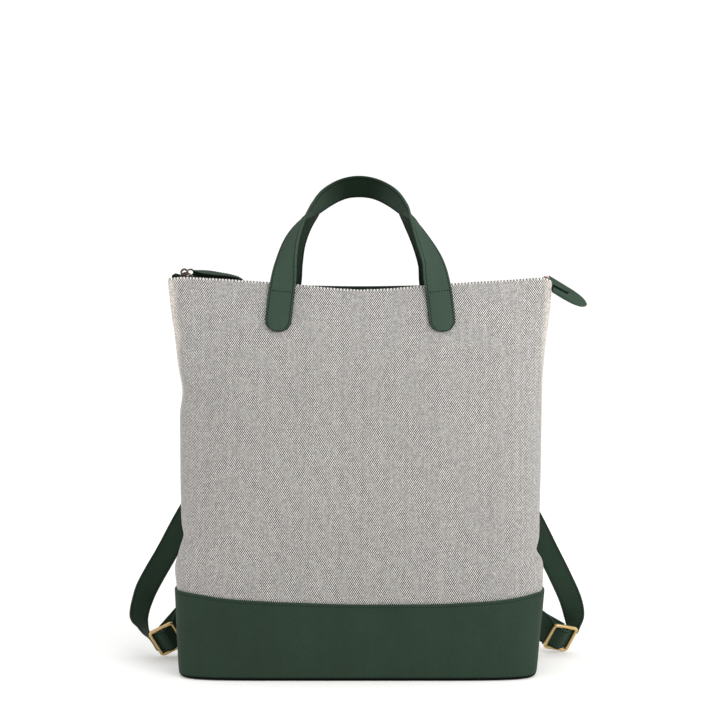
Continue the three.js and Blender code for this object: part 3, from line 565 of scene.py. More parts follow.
def facing(obj, back):
    """Turns a sheet's faces to the back of the bag, or to the front."""
    if (obj.data.polygons[len(obj.data.polygons) // 2].normal.y > 0) != back:
        edit(obj)
        bpy.ops.mesh.flip_normals()
        bpy.ops.object.mode_set(mode="OBJECT")


def laid(name, points, uv=None, marks=None, closed=False, angle=45):
    """Grid primitive laid over points, an array of rows and columns in millimetres.
    A closed one has its first and last columns joined and its ends filled."""
    rows, columns = points.shape[:2]
    obj = added(bpy.ops.mesh.primitive_grid_add, name, x_subdivisions=columns - 1,
                y_subdivisions=rows - 1, size=1, calc_uvs=True)
    mesh = obj.data
    flat = np.array([v.co for v in mesh.vertices])
    order = np.lexsort((np.round(flat[:, 0], 5), np.round(flat[:, 1], 5)))
    placed = np.empty_like(flat)
    placed[order] = points.reshape(-1, 3) * MM
    mesh.vertices.foreach_set("co", placed.astype(np.float32).ravel())
    if uv is not None:
        spread = np.empty((len(flat), 2))
        spread[order] = uv.reshape(-1, 2) * MM
        corner = np.empty(len(mesh.loops), int)
        mesh.loops.foreach_get("vertex_index", corner)
        mesh.uv_layers[0].data.foreach_set("uv", spread[corner].astype(np.float32).ravel())
    for key, values in (marks or {}).items():
        spread = np.empty(len(flat))
        spread[order] = values.ravel()
        layer = mesh.attributes.new(key, "FLOAT", "POINT")
        layer.data.foreach_set("value", spread.astype(np.float32))
    mesh.update()
    edit(obj)
    if closed:
        bpy.ops.mesh.remove_doubles(threshold=0.000002)
        bpy.ops.mesh.fill_holes(sides=0)
    return leave(obj, angle)


def ready(obj, finish, slot, *nodes):
    """Gives a piece its material and body, and hides the solids that it stands for. The slot is not
    used.
    """
    obj.data.materials.clear()
    obj.data.materials.append(finish)
    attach(obj, "root")
    if nodes:
        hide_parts(*nodes)
    return obj


def copies(name, model, places):
    """One mesh of many copies of a small model, each at its own matrix, in metres."""
    verts = np.array([v.co for v in model.data.vertices])
    faces = [tuple(p.vertices) for p in model.data.polygons]
    ones = np.hstack([verts, np.ones((len(verts), 1))])
    all_verts = np.vstack([(ones @ np.array(m, float).T)[:, :3] for m in places])
    all_faces = [tuple(i + n * len(verts) for i in face)
                 for n in range(len(places)) for face in faces]
    mesh = bpy.data.meshes.new(name)
    mesh.from_pydata(all_verts.tolist(), [], all_faces)
    obj = bpy.data.objects.new(name, mesh)
    bpy.context.scene.collection.objects.link(obj)
    bpy.data.objects.remove(model)
    edit(obj)
    return leave(obj, 60)


def turned(middle, along, across, up):
    """Matrix in metres that puts X, Y and Z along three directions at a point in millimetres."""
    matrix = Matrix.Identity(4)
    for column, axis in enumerate((along, across, up)):
        for row in range(3):
            matrix[row][column] = float(axis[row])
    for row in range(3):
        matrix[row][3] = float(middle[row]) * MM
    return matrix


def stitch_model(length, width, height):
    """One stitch: a short thread that dips into the leather at both ends."""
    obj = added(bpy.ops.mesh.primitive_cylinder_add, "stitch", vertices=6, radius=0.5, depth=1,
                rotation=(0, math.pi / 2, 0), end_fill_type="NGON")
    bpy.ops.object.transform_apply(location=False, rotation=True, scale=False)
    edit(obj)
    bpy.ops.mesh.select_mode(type="EDGE")
    bpy.ops.mesh.select_all(action="DESELECT")
    bpy.ops.object.mode_set(mode="OBJECT")
    for e in obj.data.edges:
        first, last = (obj.data.vertices[i].co.x for i in e.vertices)
        e.select = abs(last - first) > 0.5
    bpy.ops.object.mode_set(mode="EDIT")
    bpy.ops.mesh.subdivide(number_cuts=3)
    bpy.ops.mesh.select_mode(type="VERT")
    bpy.ops.object.mode_set(mode="OBJECT")
    for v in obj.data.vertices:
        bow = 1 - (2 * v.co.x) ** 2 * 0.75
        v.co = (v.co.x * length, v.co.y * width * (0.45 + 0.55 * bow), v.co.z * height * bow)
    return obj


def sewn(name, lines, finish, slot, wide=1.05):
    """Stitches along lines. Each line holds points and normals."""
    pitch = bpy.context.scene.backpack_trim.stitch / MM
    places = []
    for points, normals in lines:
        gone = distances(points)
        count = max(int(gone[-1] / pitch), 1)
        at = (np.arange(count) + 0.5) * gone[-1] / count
        spot, ahead, back = (sampled(at + step, gone, points) for step in (0, 0.6, -0.6))
        rise = unit(sampled(at, gone, normals))
        run = unit(ahead - back)
        side = unit(np.cross(rise, run))
        places += [turned(s, r, a, n) for s, r, a, n in zip(spot, run, side, np.cross(run, side))]
    model = stitch_model(pitch * STITCH_SHARE * MM, wide * MM, STITCH_HEIGHT * MM)
    return ready(copies(name, model, places), finish, slot)


# Leather strips
def strip_outline(half, thick, crown, groove):
    """Section of a leather strip: a rounded band with sewn grooves near both edges.
    Returns distances across, levels, and a mark that is one on the cut edges."""
    inset = np.array([0.0, 0.25, 0.7, 1.5, 2.0, SEAM_INSET, 2.8, 3.4, 5.5, 9.0])
    radius = min(0.9, thick * 0.42)
    drop = np.where(inset < radius,
                    radius - np.sqrt(np.maximum(radius**2 - (radius - inset) ** 2, 0)), 0)
    level = thick / 2 - drop - groove * np.exp(-((inset - SEAM_INSET) / 0.55) ** 2)
    bulge = crown * smooth(SEAM_INSET, inset[-1], inset)
    across = np.concatenate([-1 + 0 * inset, [0], 1 + 0 * inset])
    d = np.concatenate([inset, [half], inset[::-1]])
    top = np.concatenate([level + bulge, [thick / 2 + crown], (level + bulge)[::-1]])
    base = np.concatenate([level, [thick / 2], level[::-1]])
    p = across * (half - np.minimum(d, half))
    rim = 1 - smooth(0.15, 0.95, d)
    p = np.concatenate([p, p[::-1], p[:1]])
    q = np.concatenate([top, -base[::-1], top[:1]])
    return p, q, np.concatenate([rim, rim[::-1], rim[:1]])


def strip_path(stations, count, ends=0.0):
    """Middles, edge directions, normals and distances along a strip."""
    t = np.linspace(0, 1, count)
    middles = np.array([s[0] for s in stations], float)
    edges = np.array([s[1] for s in stations], float)
    if ends:
        tight = ends / distances(middles)[-1]
        near = tight * (1 - np.cos(np.linspace(0, math.pi / 2, 9)))
        t = np.unique(np.concatenate([near, np.linspace(tight, 1 - tight, count), 1 - near]))
    middle = curve_points(middles, t)
    ahead = unit(curve_points(middles, t + 0.002) - curve_points(middles, t - 0.002))
    edge = curve_points(edges, t)
    edge = unit(edge - ahead * np.sum(edge * ahead, axis=1, keepdims=True))
    return middle, edge, np.cross(ahead, edge), distances(middle)


def half_widths(path, width, ends):
    """Half width at each place of a strip, less towards ends with rounded corners."""
    gone = path[3]
    half = np.full(len(gone), width / 2) if np.isscalar(width) else np.asarray(width) / 2
    if ends:
        rest = np.clip(ends - np.minimum(gone, gone[-1] - gone), 0, ends)
        half = half + np.sqrt(ends**2 - rest**2) - ends
    return half


def strip(name, path, width, thick, ends=0.0, crown=0.12, groove=0.28, lining=0.0, held=0.0):
    """Leather strip along a path, with rounded corners of radius ends at both ends.
    The share of painted shade puts a dark colour on its inner face as shade, one number or one
    for each place. Over the length held, at both ends, the cut edges are darkened as painted
    shadow."""
    middle, edge, normal, gone = path
    points, uv, rims, inner = [], [], [], []
    full = np.max(width) / 2
    p, q, rim = strip_outline(full, thick, crown, groove)
    around = distances(np.stack([p, q], axis=1))
    shares = np.broadcast_to(lining, gone.shape)
    halves = half_widths(path, width, ends)
    for m, e, n, s, half, share in zip(middle, edge, normal, gone, halves, shares):
        points.append(m + np.outer(p * half / full, e) + np.outer(q, n))
        uv.append(np.stack([np.full(len(p), s), around], axis=1))
        from_end = min(s, gone[-1] - s)
        # Cut edges lighter along the free length, darkened as painted shadow over the sewn ends
        # where the strip lies on the cloth
        mark = np.maximum(rim, 1 - smooth(0.15, 1.1, from_end))
        rims.append(mark * (-1.7 if from_end < held else 0.5))
        inner.append(np.where(q < 0, share, 0.0))
    return laid(name, np.array(points), np.array(uv),
                {"rim": np.array(rims), "lining": np.array(inner)}, closed=True, angle=50)


def strip_seams(path, width, thick, start, stop, ends=0.0, sink=0.12):
    """Two sewn lines near the edges of a strip, on both its faces."""
    middle, edge, normal, gone = path
    keep = (gone >= start) & (gone <= gone[-1] - stop)
    half = half_widths(path, width, ends)
    lines = []
    for hand in (1, -1):
        for face in (1, -1):
            across = edge * (hand * (half - SEAM_INSET))[:, None]
            spot = middle + across + normal * face * (thick / 2 - sink)
            lines.append((spot[keep], normal[keep] * face))
    return lines


# Materials
class Wire:
    """A socket of a node tree that takes part in Python expressions."""

    def __init__(self, tree, socket):
        self.tree = tree
        self.socket = socket

    def maths(self, operation, first, second=None):
        made = self.tree.nodes.new("ShaderNodeMath")
        made.operation = operation
        for slot, value in zip(made.inputs, (first, second)):
            plug(self.tree, slot, value)
        return Wire(self.tree, made.outputs[0])

    def __add__(self, other):
        return self.maths("ADD", self, other)

    def __sub__(self, other):
        return self.maths("SUBTRACT", self, other)

    def __rsub__(self, other):
        return self.maths("SUBTRACT", other, self)

    def __mul__(self, other):
        return self.maths("MULTIPLY", self, other)

    def __truediv__(self, other):
        return self.maths("DIVIDE", self, other)

    def __mod__(self, other):
        return self.maths("FLOORED_MODULO", self, other)

    __radd__ = __add__
    __rmul__ = __mul__


def plug(tree, slot, value):
    """Links a wire to a socket, or sets the socket's own value."""
    if isinstance(value, Wire):
        tree.links.new(value.socket, slot)
    elif value is not None:
        if hasattr(slot.default_value, "__len__") and len(slot.default_value) == 4:
            value = tuple(value) + (1.0,) * (4 - len(value))
        slot.default_value = value


class Finish:
    """A material whose shader sockets are set by name."""

    def __init__(self, name, **constants):
        self.material = bpy.data.materials.new(name)
        self.material.use_nodes = True
        self.tree = self.material.node_tree
        self.shader = self.tree.nodes["Principled BSDF"]
        self.set(**constants)

    def set(self, **values):
        for key, value in values.items():
            plug(self.tree, self.shader.inputs[key.replace("_", " ")], value)

    def node(self, kind, settings=None, values=None, output=0):
        """Any node: its settings first, then the values or links of its sockets."""
        made = self.tree.nodes.new("ShaderNode" + kind)
        for key, value in (settings or {}).items():
            setattr(made, key, value)
        for key, value in (values or {}).items():
            plug(self.tree, made.inputs[key], value)
        return Wire(self.tree, made.outputs[output])

    def body(self):
        """Place on the object, in metres."""
        return self.node("TexCoord", output=3)

    def axis(self, vector, number):
        return self.node("SeparateXYZ", {}, {0: vector}, number)

    def mark(self, name):
        """Value that the mesh carries under a name."""
        return self.node("Attribute", {"attribute_name": name}, {}, 2)

    def wave(self, value, pitch):
        """Sine wave along a value."""
        return self.node("Math", {"operation": "SINE"}, {0: value * (2 * math.pi / pitch)})

    def shaded(self, colour, tone):
        """A colour times a tone."""
        grey = self.node("CombineColor", {}, {0: tone, 1: tone, 2: tone})
        return self.blend(1.0, colour, grey, "MULTIPLY")

    def blend(self, factor, first, second, how="MIX"):
        """Mix of two colours."""
        return self.node("Mix", {"data_type": "RGBA", "blend_type": how},
                         {0: factor, 6: first, 7: second}, 2)

    def step(self, low, high, value):
        """Smooth step of a value between two limits."""
        return self.node("MapRange", {"interpolation_type": "SMOOTHSTEP"},
                         {"Value": value, "From Min": low, "From Max": high})

    def noise(self, where, scale, detail=3.0, roughness=0.5):
        return self.node("TexNoise", {}, {"Vector": where, "Scale": scale, "Detail": detail,
                                          "Roughness": roughness})

    def bump(self, height, strength, distance):
        return self.node("Bump", {}, {"Height": height, "Strength": strength,
                                      "Distance": distance})


def canvas_finish():
    """Plain weave of light and dark yarns, with rounded yarns and uneven thread."""
    cloth = bpy.context.scene.backpack_cloth
    finish = Finish("canvas_weave", Roughness=0.92, Sheen_Weight=0.35, Sheen_Roughness=0.4,
                    Sheen_Tint=(1.0, 0.93, 0.86), Specular_IOR_Level=0.15)
    warp_slant, weft_slant, wander, roundness, loop_pitch = 0.015, 0.02, 0.6, 3.4, 0.0035
    where, body = finish.node("UVMap", {"uv_map": "UVMap"}), finish.body()
    u, v = (finish.axis(where, n) for n in (0, 1))
    drift = finish.noise(body, 30.0, 2.0) - 0.5
    sway = finish.noise(body, 47.0, 2.0) - 0.5
    slow = finish.noise(body, 5.0, 1.0) - 0.5
    warp = (u / cloth.yarn_width - v * (warp_slant / cloth.yarn_width) + drift * wander
            + slow * 5.0)
    weft = (v / cloth.yarn_height + u * (weft_slant / cloth.yarn_height) + sway * wander
            + slow * 4.0)
    warp_cell, weft_cell = (finish.node("Math", {"operation": "FLOOR"}, {0: run})
                            for run in (warp, weft))
    across = (warp - warp_cell) - 0.5
    upward = (weft - weft_cell) - 0.5
    round_u, round_v = (1 - off * off * roundness for off in (across, upward))
    over = (warp_cell + weft_cell) % 2.0
    cell = finish.node("CombineXYZ", {}, {0: warp_cell, 1: weft_cell})
    chance = finish.node("TexWhiteNoise", {"noise_dimensions": "2D"}, {"Vector": cell})
    strand = finish.node("TexWhiteNoise", {"noise_dimensions": "1D"}, {"W": warp_cell})
    thread = finish.node("TexWhiteNoise", {"noise_dimensions": "1D"}, {"W": weft_cell + 0.37})
    height = (over * (round_u * (0.55 + 0.45 * round_v))
              + (1 - over) * (round_v * (0.55 + 0.45 * round_u)))
    tone = over * (0.94 + 0.12 * strand) + (1 - over) * (0.85 + 0.3 * thread)
    fleck = finish.step(0.9, 0.99, chance)
    edge, brim = finish.mark("edge"), finish.mark("brim")
    loop = finish.step(-0.15, 0.35, finish.wave(u, loop_pitch))
    fringe = finish.blend(loop, (0.10, 0.095, 0.09), (0.95, 0.93, 0.9))
    pale = finish.blend(over, cloth.dark_yarn, cloth.light_yarn)
    pale = finish.blend(fleck * 0.2, pale, (0.42, 0.40, 0.37))
    # Painted sheen beside the side seams, where the edge mark is high
    pale = finish.blend(edge * 0.7, pale, cloth.painted_seam_sheen)
    pale = finish.blend(brim * 0.85, pale, fringe)
    cloud = finish.noise(body, 9.0, 2.0)
    # Painted light: the canvas gets up to 9 percent lighter towards the top, for the stronger light
    # from above on the upper wall
    upper = finish.step(0.27, 0.4, finish.axis(body, 2))
    # Painted shade: darker where the yarns dip between crossings
    shade = (tone * (0.88 + 0.12 * height) * (0.81 + 0.34 * chance) * (0.95 + 0.1 * cloud)
             * (1 + 0.09 * upper))
    finish.set(Base_Color=finish.shaded(pale, shade),
               Normal=finish.bump(height + chance * 0.25, 0.4, 0.0005))
    return finish.material


def leather_finish(name, colour, roughness, fold=1.0):
    """Fine-grained dyed leather. A shade mark mixes in a dark colour as painted shade, and the rim
    mark lightens cut edges and darkens as painted shadow where it is negative.
    """
    leather = bpy.context.scene.backpack_leather
    finish = Finish(name, Specular_IOR_Level=0.07)
    body = finish.body()
    bent = finish.node("VectorMath", {"operation": "MULTIPLY_ADD"},
                       {0: finish.node("TexNoise", {}, {"Vector": body, "Scale": 420.0}, 1),
                        1: (0.0006, 0.0006, 0.0006), 2: body})
    pores = finish.node("TexVoronoi", {"feature": "DISTANCE_TO_EDGE"},
                        {"Vector": bent, "Scale": 1.0 / leather.grain})
    grain = finish.step(0.02, 0.2, pores)
    fine = finish.noise(body, 1500.0, 2.0)
    wide = finish.noise(body, 26.0, 4.0, 0.55)
    soft = finish.noise(body, 7.0, 2.0)
    drawn = finish.node("Mapping", {}, {"Vector": body, "Scale": (70.0, 70.0, 9.0)})
    streak = finish.noise(drawn, 1.0, 3.0, 0.55)
    rim, lining = finish.mark("rim"), finish.mark("lining")
    tone = ((0.84 + 0.18 * grain) * (0.86 + 0.24 * wide) * (0.9 + 0.16 * soft)
            * (0.9 + 0.22 * streak) * (1 + rim * 0.35))
    relief_height = grain * 0.5 + fine * 0.35 + wide * fold + streak * 0.5
    # Painted shade: the dark colour mixed in by the shade mark
    dye_and_painted_shade = finish.blend(lining, colour, leather.lining)
    finish.set(Base_Color=finish.shaded(dye_and_painted_shade, tone),
               Roughness=roughness + (wide - 0.5) * 0.16 - grain * 0.05 + lining * 0.2,
               Normal=finish.bump(relief_height, 0.32, 0.0004))
    return finish.material


def metal_finish(name, colour, roughness, scale):
    """Brushed metal with faint scratches and darker hollows."""
    finish = Finish(name, Metallic=1.0)
    body = finish.body()
    brushed = finish.node("Mapping", {}, {"Vector": body, "Scale": scale})
    lines = finish.noise(brushed, 1.0, 4.0, 0.6)
    worn = finish.noise(body, 160.0, 3.0)
    tone = (0.86 + 0.2 * lines) * (0.9 + 0.2 * worn)
    finish.set(Base_Color=finish.shaded(colour, tone),
               Roughness=roughness + (lines - 0.5) * 0.22,
               Normal=finish.bump(lines + worn * 0.3, 0.12, 0.0002))
    return finish.material


def tape_finish():
    """Ribbed zip tape."""
    trim = bpy.context.scene.backpack_trim
    finish = Finish("zip_tape_weave", Roughness=0.85, Sheen_Weight=0.03,
                    Sheen_Tint=(0.8, 0.95, 0.85), Specular_IOR_Level=0.06)
    body = finish.body()
    rib, cord = finish.wave(finish.axis(body, 0), 0.0009), finish.wave(finish.axis(body, 1), 0.0012)
    fuzz = finish.noise(body, 900.0, 2.0)
    tone = 0.8 + 0.16 * rib + 0.12 * cord + 0.3 * fuzz
    finish.set(Base_Color=finish.shaded(trim.tape, tone),
               Normal=finish.bump(rib * 0.5 + cord * 0.4 + fuzz, 0.35, 0.0003))
    return finish.material


def thread_finish():
    """Twisted sewing thread."""
    trim = bpy.context.scene.backpack_trim
    finish = Finish("sewing_thread", Roughness=0.7, Specular_IOR_Level=0.05)
    twist = finish.noise(finish.body(), 2200.0, 1.0)
    finish.set(Base_Color=finish.shaded(trim.thread, 0.75 + 0.5 * twist),
               Normal=finish.bump(twist, 0.3, 0.0002))
    return finish.material


FINISHES = {}


def finish_of(key):
    """The finish with this name, made at its first use."""
    leather, trim = bpy.context.scene.backpack_leather, bpy.context.scene.backpack_trim
    even = (500.0, 500.0, 500.0)
    makers = {
        "canvas": (canvas_finish,),
        "leather": (leather_finish, "base_leather", leather.base, 0.62),
        "handle": (leather_finish, "handle_leather", leather.handle, 0.64),
        "strap": (leather_finish, "strap_leather", leather.strap, 0.5, 0.6),
        "brass": (metal_finish, "brushed_brass", trim.brass, 0.3, (90.0, 2600.0, 700.0)),
        "metal": (metal_finish, "zip_metal_satin", trim.metal, 0.28, even),
        "copper": (metal_finish, "zip_stop_copper", trim.copper, 0.45, even),
        "tape": (tape_finish,),
        "thread": (thread_finish,),
    }
    if key not in FINISHES:
        make, *values = makers[key]
        FINISHES[key] = make(*values)
    return FINISHES[key]


# Pieces
class BACKPACK_OT_canvas(bpy.types.Operator):
    """Front and back canvas panels."""

    bl_idname = "backpack.canvas"
    bl_label = "Canvas panels"

    def execute(self, context):
        columns, rows = 150, 120
        crease = context.scene.backpack_cloth.crease
        share = np.linspace(0, 1, columns + 1)
        for side in SIDES:
            low = row_at(SEAM, wall(side, share, SEAM_LEVEL, 0)[:, 0])[0] - SEAM_LAP
            across = wall(side, share, RIM_LEVEL, 0)[:, 0]
            rim_front, rim_back, tilt = row_at(RIM, np.abs(across))
            top = (rim_front if side == "front" else rim_back) - np.sign(across) * tilt
            part = np.concatenate([np.linspace(0, 0.992, rows - 1), [0.9955, 1.0]])[:, None]
            height = low + (top - low) * part
            points = wall(side, np.broadcast_to(share, height.shape), height, CANVAS_WALL, crease)
            gone = distances(points, 1)
            u = gone - gone[:, columns // 2, None]
            v = distances(points) + low
            aside = np.minimum(gone, gone[:, -1:] - gone)
            # edge marks the cloth beside the side seams for its painted sheen; brim marks the yarn
            # ends at the top
            marks = {"edge": 1 - smooth(1, 11, aside), "brim": smooth(-2.2, -1.0, height - top)}
            uv = np.stack([u, v], axis=2)
            obj = laid("canvas_" + side + "_cloth", points, uv, marks, angle=60)
            facing(obj, side == "back")
            apply(obj, "SOLIDIFY", thickness=CLOTH_THICK * MM, offset=-1.0, use_rim=True)
            ready(obj, finish_of("canvas"), "canvas", "canvas_" + side)
            flat = (float(gone[:, -1].max()) * MM, float(v[-1].max() - v[0].min()) * MM)
        return {"FINISHED"}


class BACKPACK_OT_base(bpy.types.Operator):
    """Leather base with its sewn upper edge."""

    bl_idname = "backpack.base"
    bl_label = "Leather base"

    def ring(self, inset, outward, height_of, columns=130):
        """Closed row of points round the base, at a height for each x."""
        found = []
        for side in SIDES:
            share = np.linspace(0, 1, columns + 1)
            if side == "back":
                share = share[::-1]
            share = share[:-1]
            x = wall(side, share, RING_LEVEL, 0)[:, 0]
            cornered = 0.42 + 0.58 * (x / 190) ** 6
            height = height_of(x)
            soft = 0.0
            if outward > CANVAS_WALL + CLEARANCE:
                wave = np.sin(x / 31.0 + 0.6) * 0.22 + np.sin(x / 13.0 + height / 21.0) * 0.12
                soft = wave * smooth(8, 24, height) * (1 - smooth(52, 66, height))
            points = wall(side, share, height, outward - inset * cornered + soft)
            points[0, 1] = 0
            found.append(points)
        ring = np.vstack(found)
        return np.vstack([ring, ring[:1]])

    def execute(self, context):
        inside = CANVAS_WALL + CLEARANCE
        outside = inside + LEATHER_WALL
        rows = []

        def seam(x):
            return row_at(SEAM, x)[0]

        def row(inset, outward, height_of, rim=0.0, dark=0.0):
            rows.append((self.ring(inset, outward, height_of), rim, dark))

        # Painted shadow: the lowest few millimetres of the foot are darkened and mixed with the
        # dark shade colour
        for at in np.linspace(FOOT[0, 0], FOOT[-1, 0], 13):
            inset, z = (float(c) for c in row_at(FOOT, at))
            row(inset, outside, lambda x: 0 * x + z,
                -2.6 * (1 - smooth(2.0, 3.4, z)), 1 - smooth(2.4, 4.2, z))
        for part in np.linspace(0.06, 0.96, 22):
            row(0, outside, lambda x: FOOT_TOP + (seam(x) - LIP_DEPTH - FOOT_TOP) * part)
        for sink, below in LIP:
            row(0, outside - sink, lambda x: seam(x) - below, 0.8 if below < 0.7 else 0.0)
        row(0, inside, lambda x: seam(x) - SEAM_LAP - 1)
        row(0, inside, lambda x: 0 * x + 14)
        row(6, inside, lambda x: 0 * x + BASE_FLOOR)
        points, rims, dark = (np.array(column, float) for column in zip(*rows))
        marks = {key: np.repeat(values[:, None], points.shape[1], axis=1)
                 for key, values in (("rim", rims), ("lining", dark))}
        obj = laid("leather_base_hide", points, None, marks, closed=True, angle=55)
        ready(obj, finish_of("leather"), "leather", "leather_base")
        line = self.ring(0, outside - 0.2, lambda x: seam(x) - LIP_SEAM, 200)
        line = np.roll(line[:-1], 37, axis=0)
        line = np.vstack([line, line[:1]])
        flat = unit(np.cross(np.gradient(line, axis=0), (0, 0, 1)))
        sewn("base_stitching", [(line, flat)], finish_of("thread"), "leather", 0.5)
        return {"FINISHED"}


class BACKPACK_OT_handles(bpy.types.Operator):
    """Carrying handles with their sewn ends."""

    bl_idname = "backpack.handles"
    bl_label = "Carrying handles"

    def stations(self, side):
        """Middles and edge directions from the left end over the arch to the right one."""
        forward = -1 if side == "front" else 1
        rows = []
        for hand, table in ((-1, HANDLE), (1, HANDLE[-2::-1])):
            for across, up, off, twist, lean, share, drop, back_twist, back_lean, held in table:
                if side == "front":
                    share, drop = 1, 0
                else:
                    twist, lean = back_twist, lean + back_lean
                rows.append((lean + hand * across * share, up - drop, off, twist, held))
        middles, edges = [], []
        for x, up, off, twist, held in rows:
            if not held:
                middles.append(np.array((x, forward * off, up)))
                edges.append(None)
                continue
            point, normal, along, _ = on_wall(side, np.array([x]), np.array([up]), CANVAS_WALL)
            middles.append((point + normal * HANDLE_LIFT)[0])
            edges.append(along[0] * (1 if x < 0 else -1))
        for i, row in enumerate(rows):
            if edges[i] is None:
                ahead = unit(middles[min(i + 1, len(rows) - 1)] - middles[max(i - 1, 0)])
                inner = unit(np.cross(ahead, (0, -1, 0)))
                turn = math.radians(row[3])
                edges[i] = inner * math.cos(turn) + np.array((0, forward * math.sin(turn), 0))
        return [(m, e * forward) for m, e in zip(middles, edges)]

    def execute(self, context):
        lines = []
        for side in SIDES:
            path = strip_path(self.stations(side), 150, HANDLE_CORNER)
            # Painted shade on the inner face, darkest over the top of the arch where it faces down
            central = 1 - np.abs(2 * path[3] / path[3][-1] - 1)
            least = HANDLE_PAINTED_SHADE[side]
            shade = least + (1 - least) * smooth(0.76, 0.95, central)
            obj = strip("handle_" + side + "_leather", path, HANDLE_WIDTH, HANDLE_THICK,
                        HANDLE_CORNER, 0.25, 0.3, shade, HANDLE_HELD)
            ready(obj, finish_of("handle"), "leather", "handle_" + side)
            lines += strip_seams(path, HANDLE_WIDTH, HANDLE_THICK, SEAM_INSET, SEAM_INSET,
                                 HANDLE_CORNER, sink=0.05)
            lines += self.crossings(path)
        sewn("handle_stitching", lines, finish_of("thread"), "leather")
        return {"FINISHED"}

    def crossings(self, path):
        """A row of stitches across each sewn end, near the rim, on both faces."""
        middle, edge, normal, gone = path
        reach = np.linspace(-CROSSING_HALF, CROSSING_HALF, 9)
        lines = []
        for s in (CROSSING_AT, gone[-1] - CROSSING_AT):
            m = sampled(s, gone, middle)
            e, n = unit(sampled(s, gone, edge)), unit(sampled(s, gone, normal))
            for face in (1, -1):
                lift = HANDLE_THICK / 2 + (0.2 if face > 0 else 0)
                spot = m + np.outer(reach, e) + n * face * lift
                lines.append((spot, np.tile(n * face, (len(reach), 1))))
        return lines


def buckle_axes(place):
    """Directions along the strap and up, the normal, the side that shows, and the middle."""
    along = unit(np.array(place["inward"]))
    upper = np.array(place["upper"], float)
    upper = unit(upper - along * np.dot(upper, along))
    normal = np.cross(along, upper)
    face = normal if normal[1] < 0 else -normal
    return along, upper, normal, face, np.array(place["middle"], float)


class BACKPACK_OT_straps(bpy.types.Operator):
    """Shoulder straps, from the patch through the buckles to the base."""

    bl_idname = "backpack.straps"
    bl_label = "Shoulder straps"

    def stations(self, place):
        """Middles and edge directions from the patch to the base."""
        hand = place["hand"]
        along, upper, _, face, middle = buckle_axes(place)
        found = []
        for x, z in STRAP_TOP:
            point, out, side, up = (a[0] for a in on_wall("back", np.array([hand * x]),
                                                          np.array([z]), CANVAS_WALL))
            lift = STRAP_LIFT + (1.2 if z < 335 else 0)
            found.append((point + out * lift, side * hand * 0.8 + up * 0.6))
        for row in place["run"]:
            found.append((np.array(row[:3], float), np.array(row[3:], float)))
        for run, ahead in BUCKLE_RUN:
            found.append((middle + along * run + face * ahead, upper))
        return found + self.inner_end(place)

    def inner_end(self, place):
        """From the buckle to the seam on the back of the base."""
        found = [(np.array(spot, float), np.array(place["edge"])) for spot in place["way"]]
        for x, z in place["sewn"]:
            level = CANVAS_WALL + CLEARANCE + LEATHER_WALL
            point, out, _, _ = (a[0] for a in on_wall("back", np.array([x]), np.array([z]), level))
            found.append((point + out * STRAP_END_LIFT, np.array((0, 0, 1.0))))
        return found

    def layers(self, place):
        """The strap's turned-back end: behind the buckle, and on towards the base."""
        along, upper, _, face, middle = buckle_axes(place)
        yield [(middle + along * run - face * BACKING_DEPTH - upper * BACKING_DROP, upper)
               for run in BACKING_RUN]
        yield [(np.array(spot, float), np.array(place["end_edge"])) for spot in place["end"]]

    def execute(self, context):
        lines = []
        for name, place in BUCKLES.items():
            stations = self.stations(place)
            path = strip_path(stations, STRAP_STEPS)
            t = np.linspace(0, len(stations) - 1, STRAP_STEPS)
            start = len(STRAP_TOP) + len(place["run"])
            done = start + len(BUCKLE_RUN)
            pinch = smooth(start - 1.4, start - 0.2, t) - smooth(start + 1.2, start + 3, t)
            width = (STRAP_WIDTH - place["pinch"] * pinch + 4.4 * smooth(start + 2, start + 4, t)
                     + 0.6 * smooth(done - 1.5, done + 0.5, t))
            obj = strip("strap_" + name + "_leather", path, width, STRAP_THICK, 0, 0.06, 0.22)
            ready(obj, finish_of("strap"), "strap_leather", "strap_" + name)
            lines += strip_seams(path, width, STRAP_THICK, 40, 4, sink=0.06)
            for n, layer in enumerate(self.layers(place)):
                obj = strip("strap_" + name + "_layer_%d" % n, strip_path(layer, 40),
                            LAYER_WIDTHS[n], STRAP_THICK)
                ready(obj, finish_of("strap"), "strap_leather")
        sewn("strap_stitching", lines, finish_of("thread"), "strap_leather")
        return {"FINISHED"}


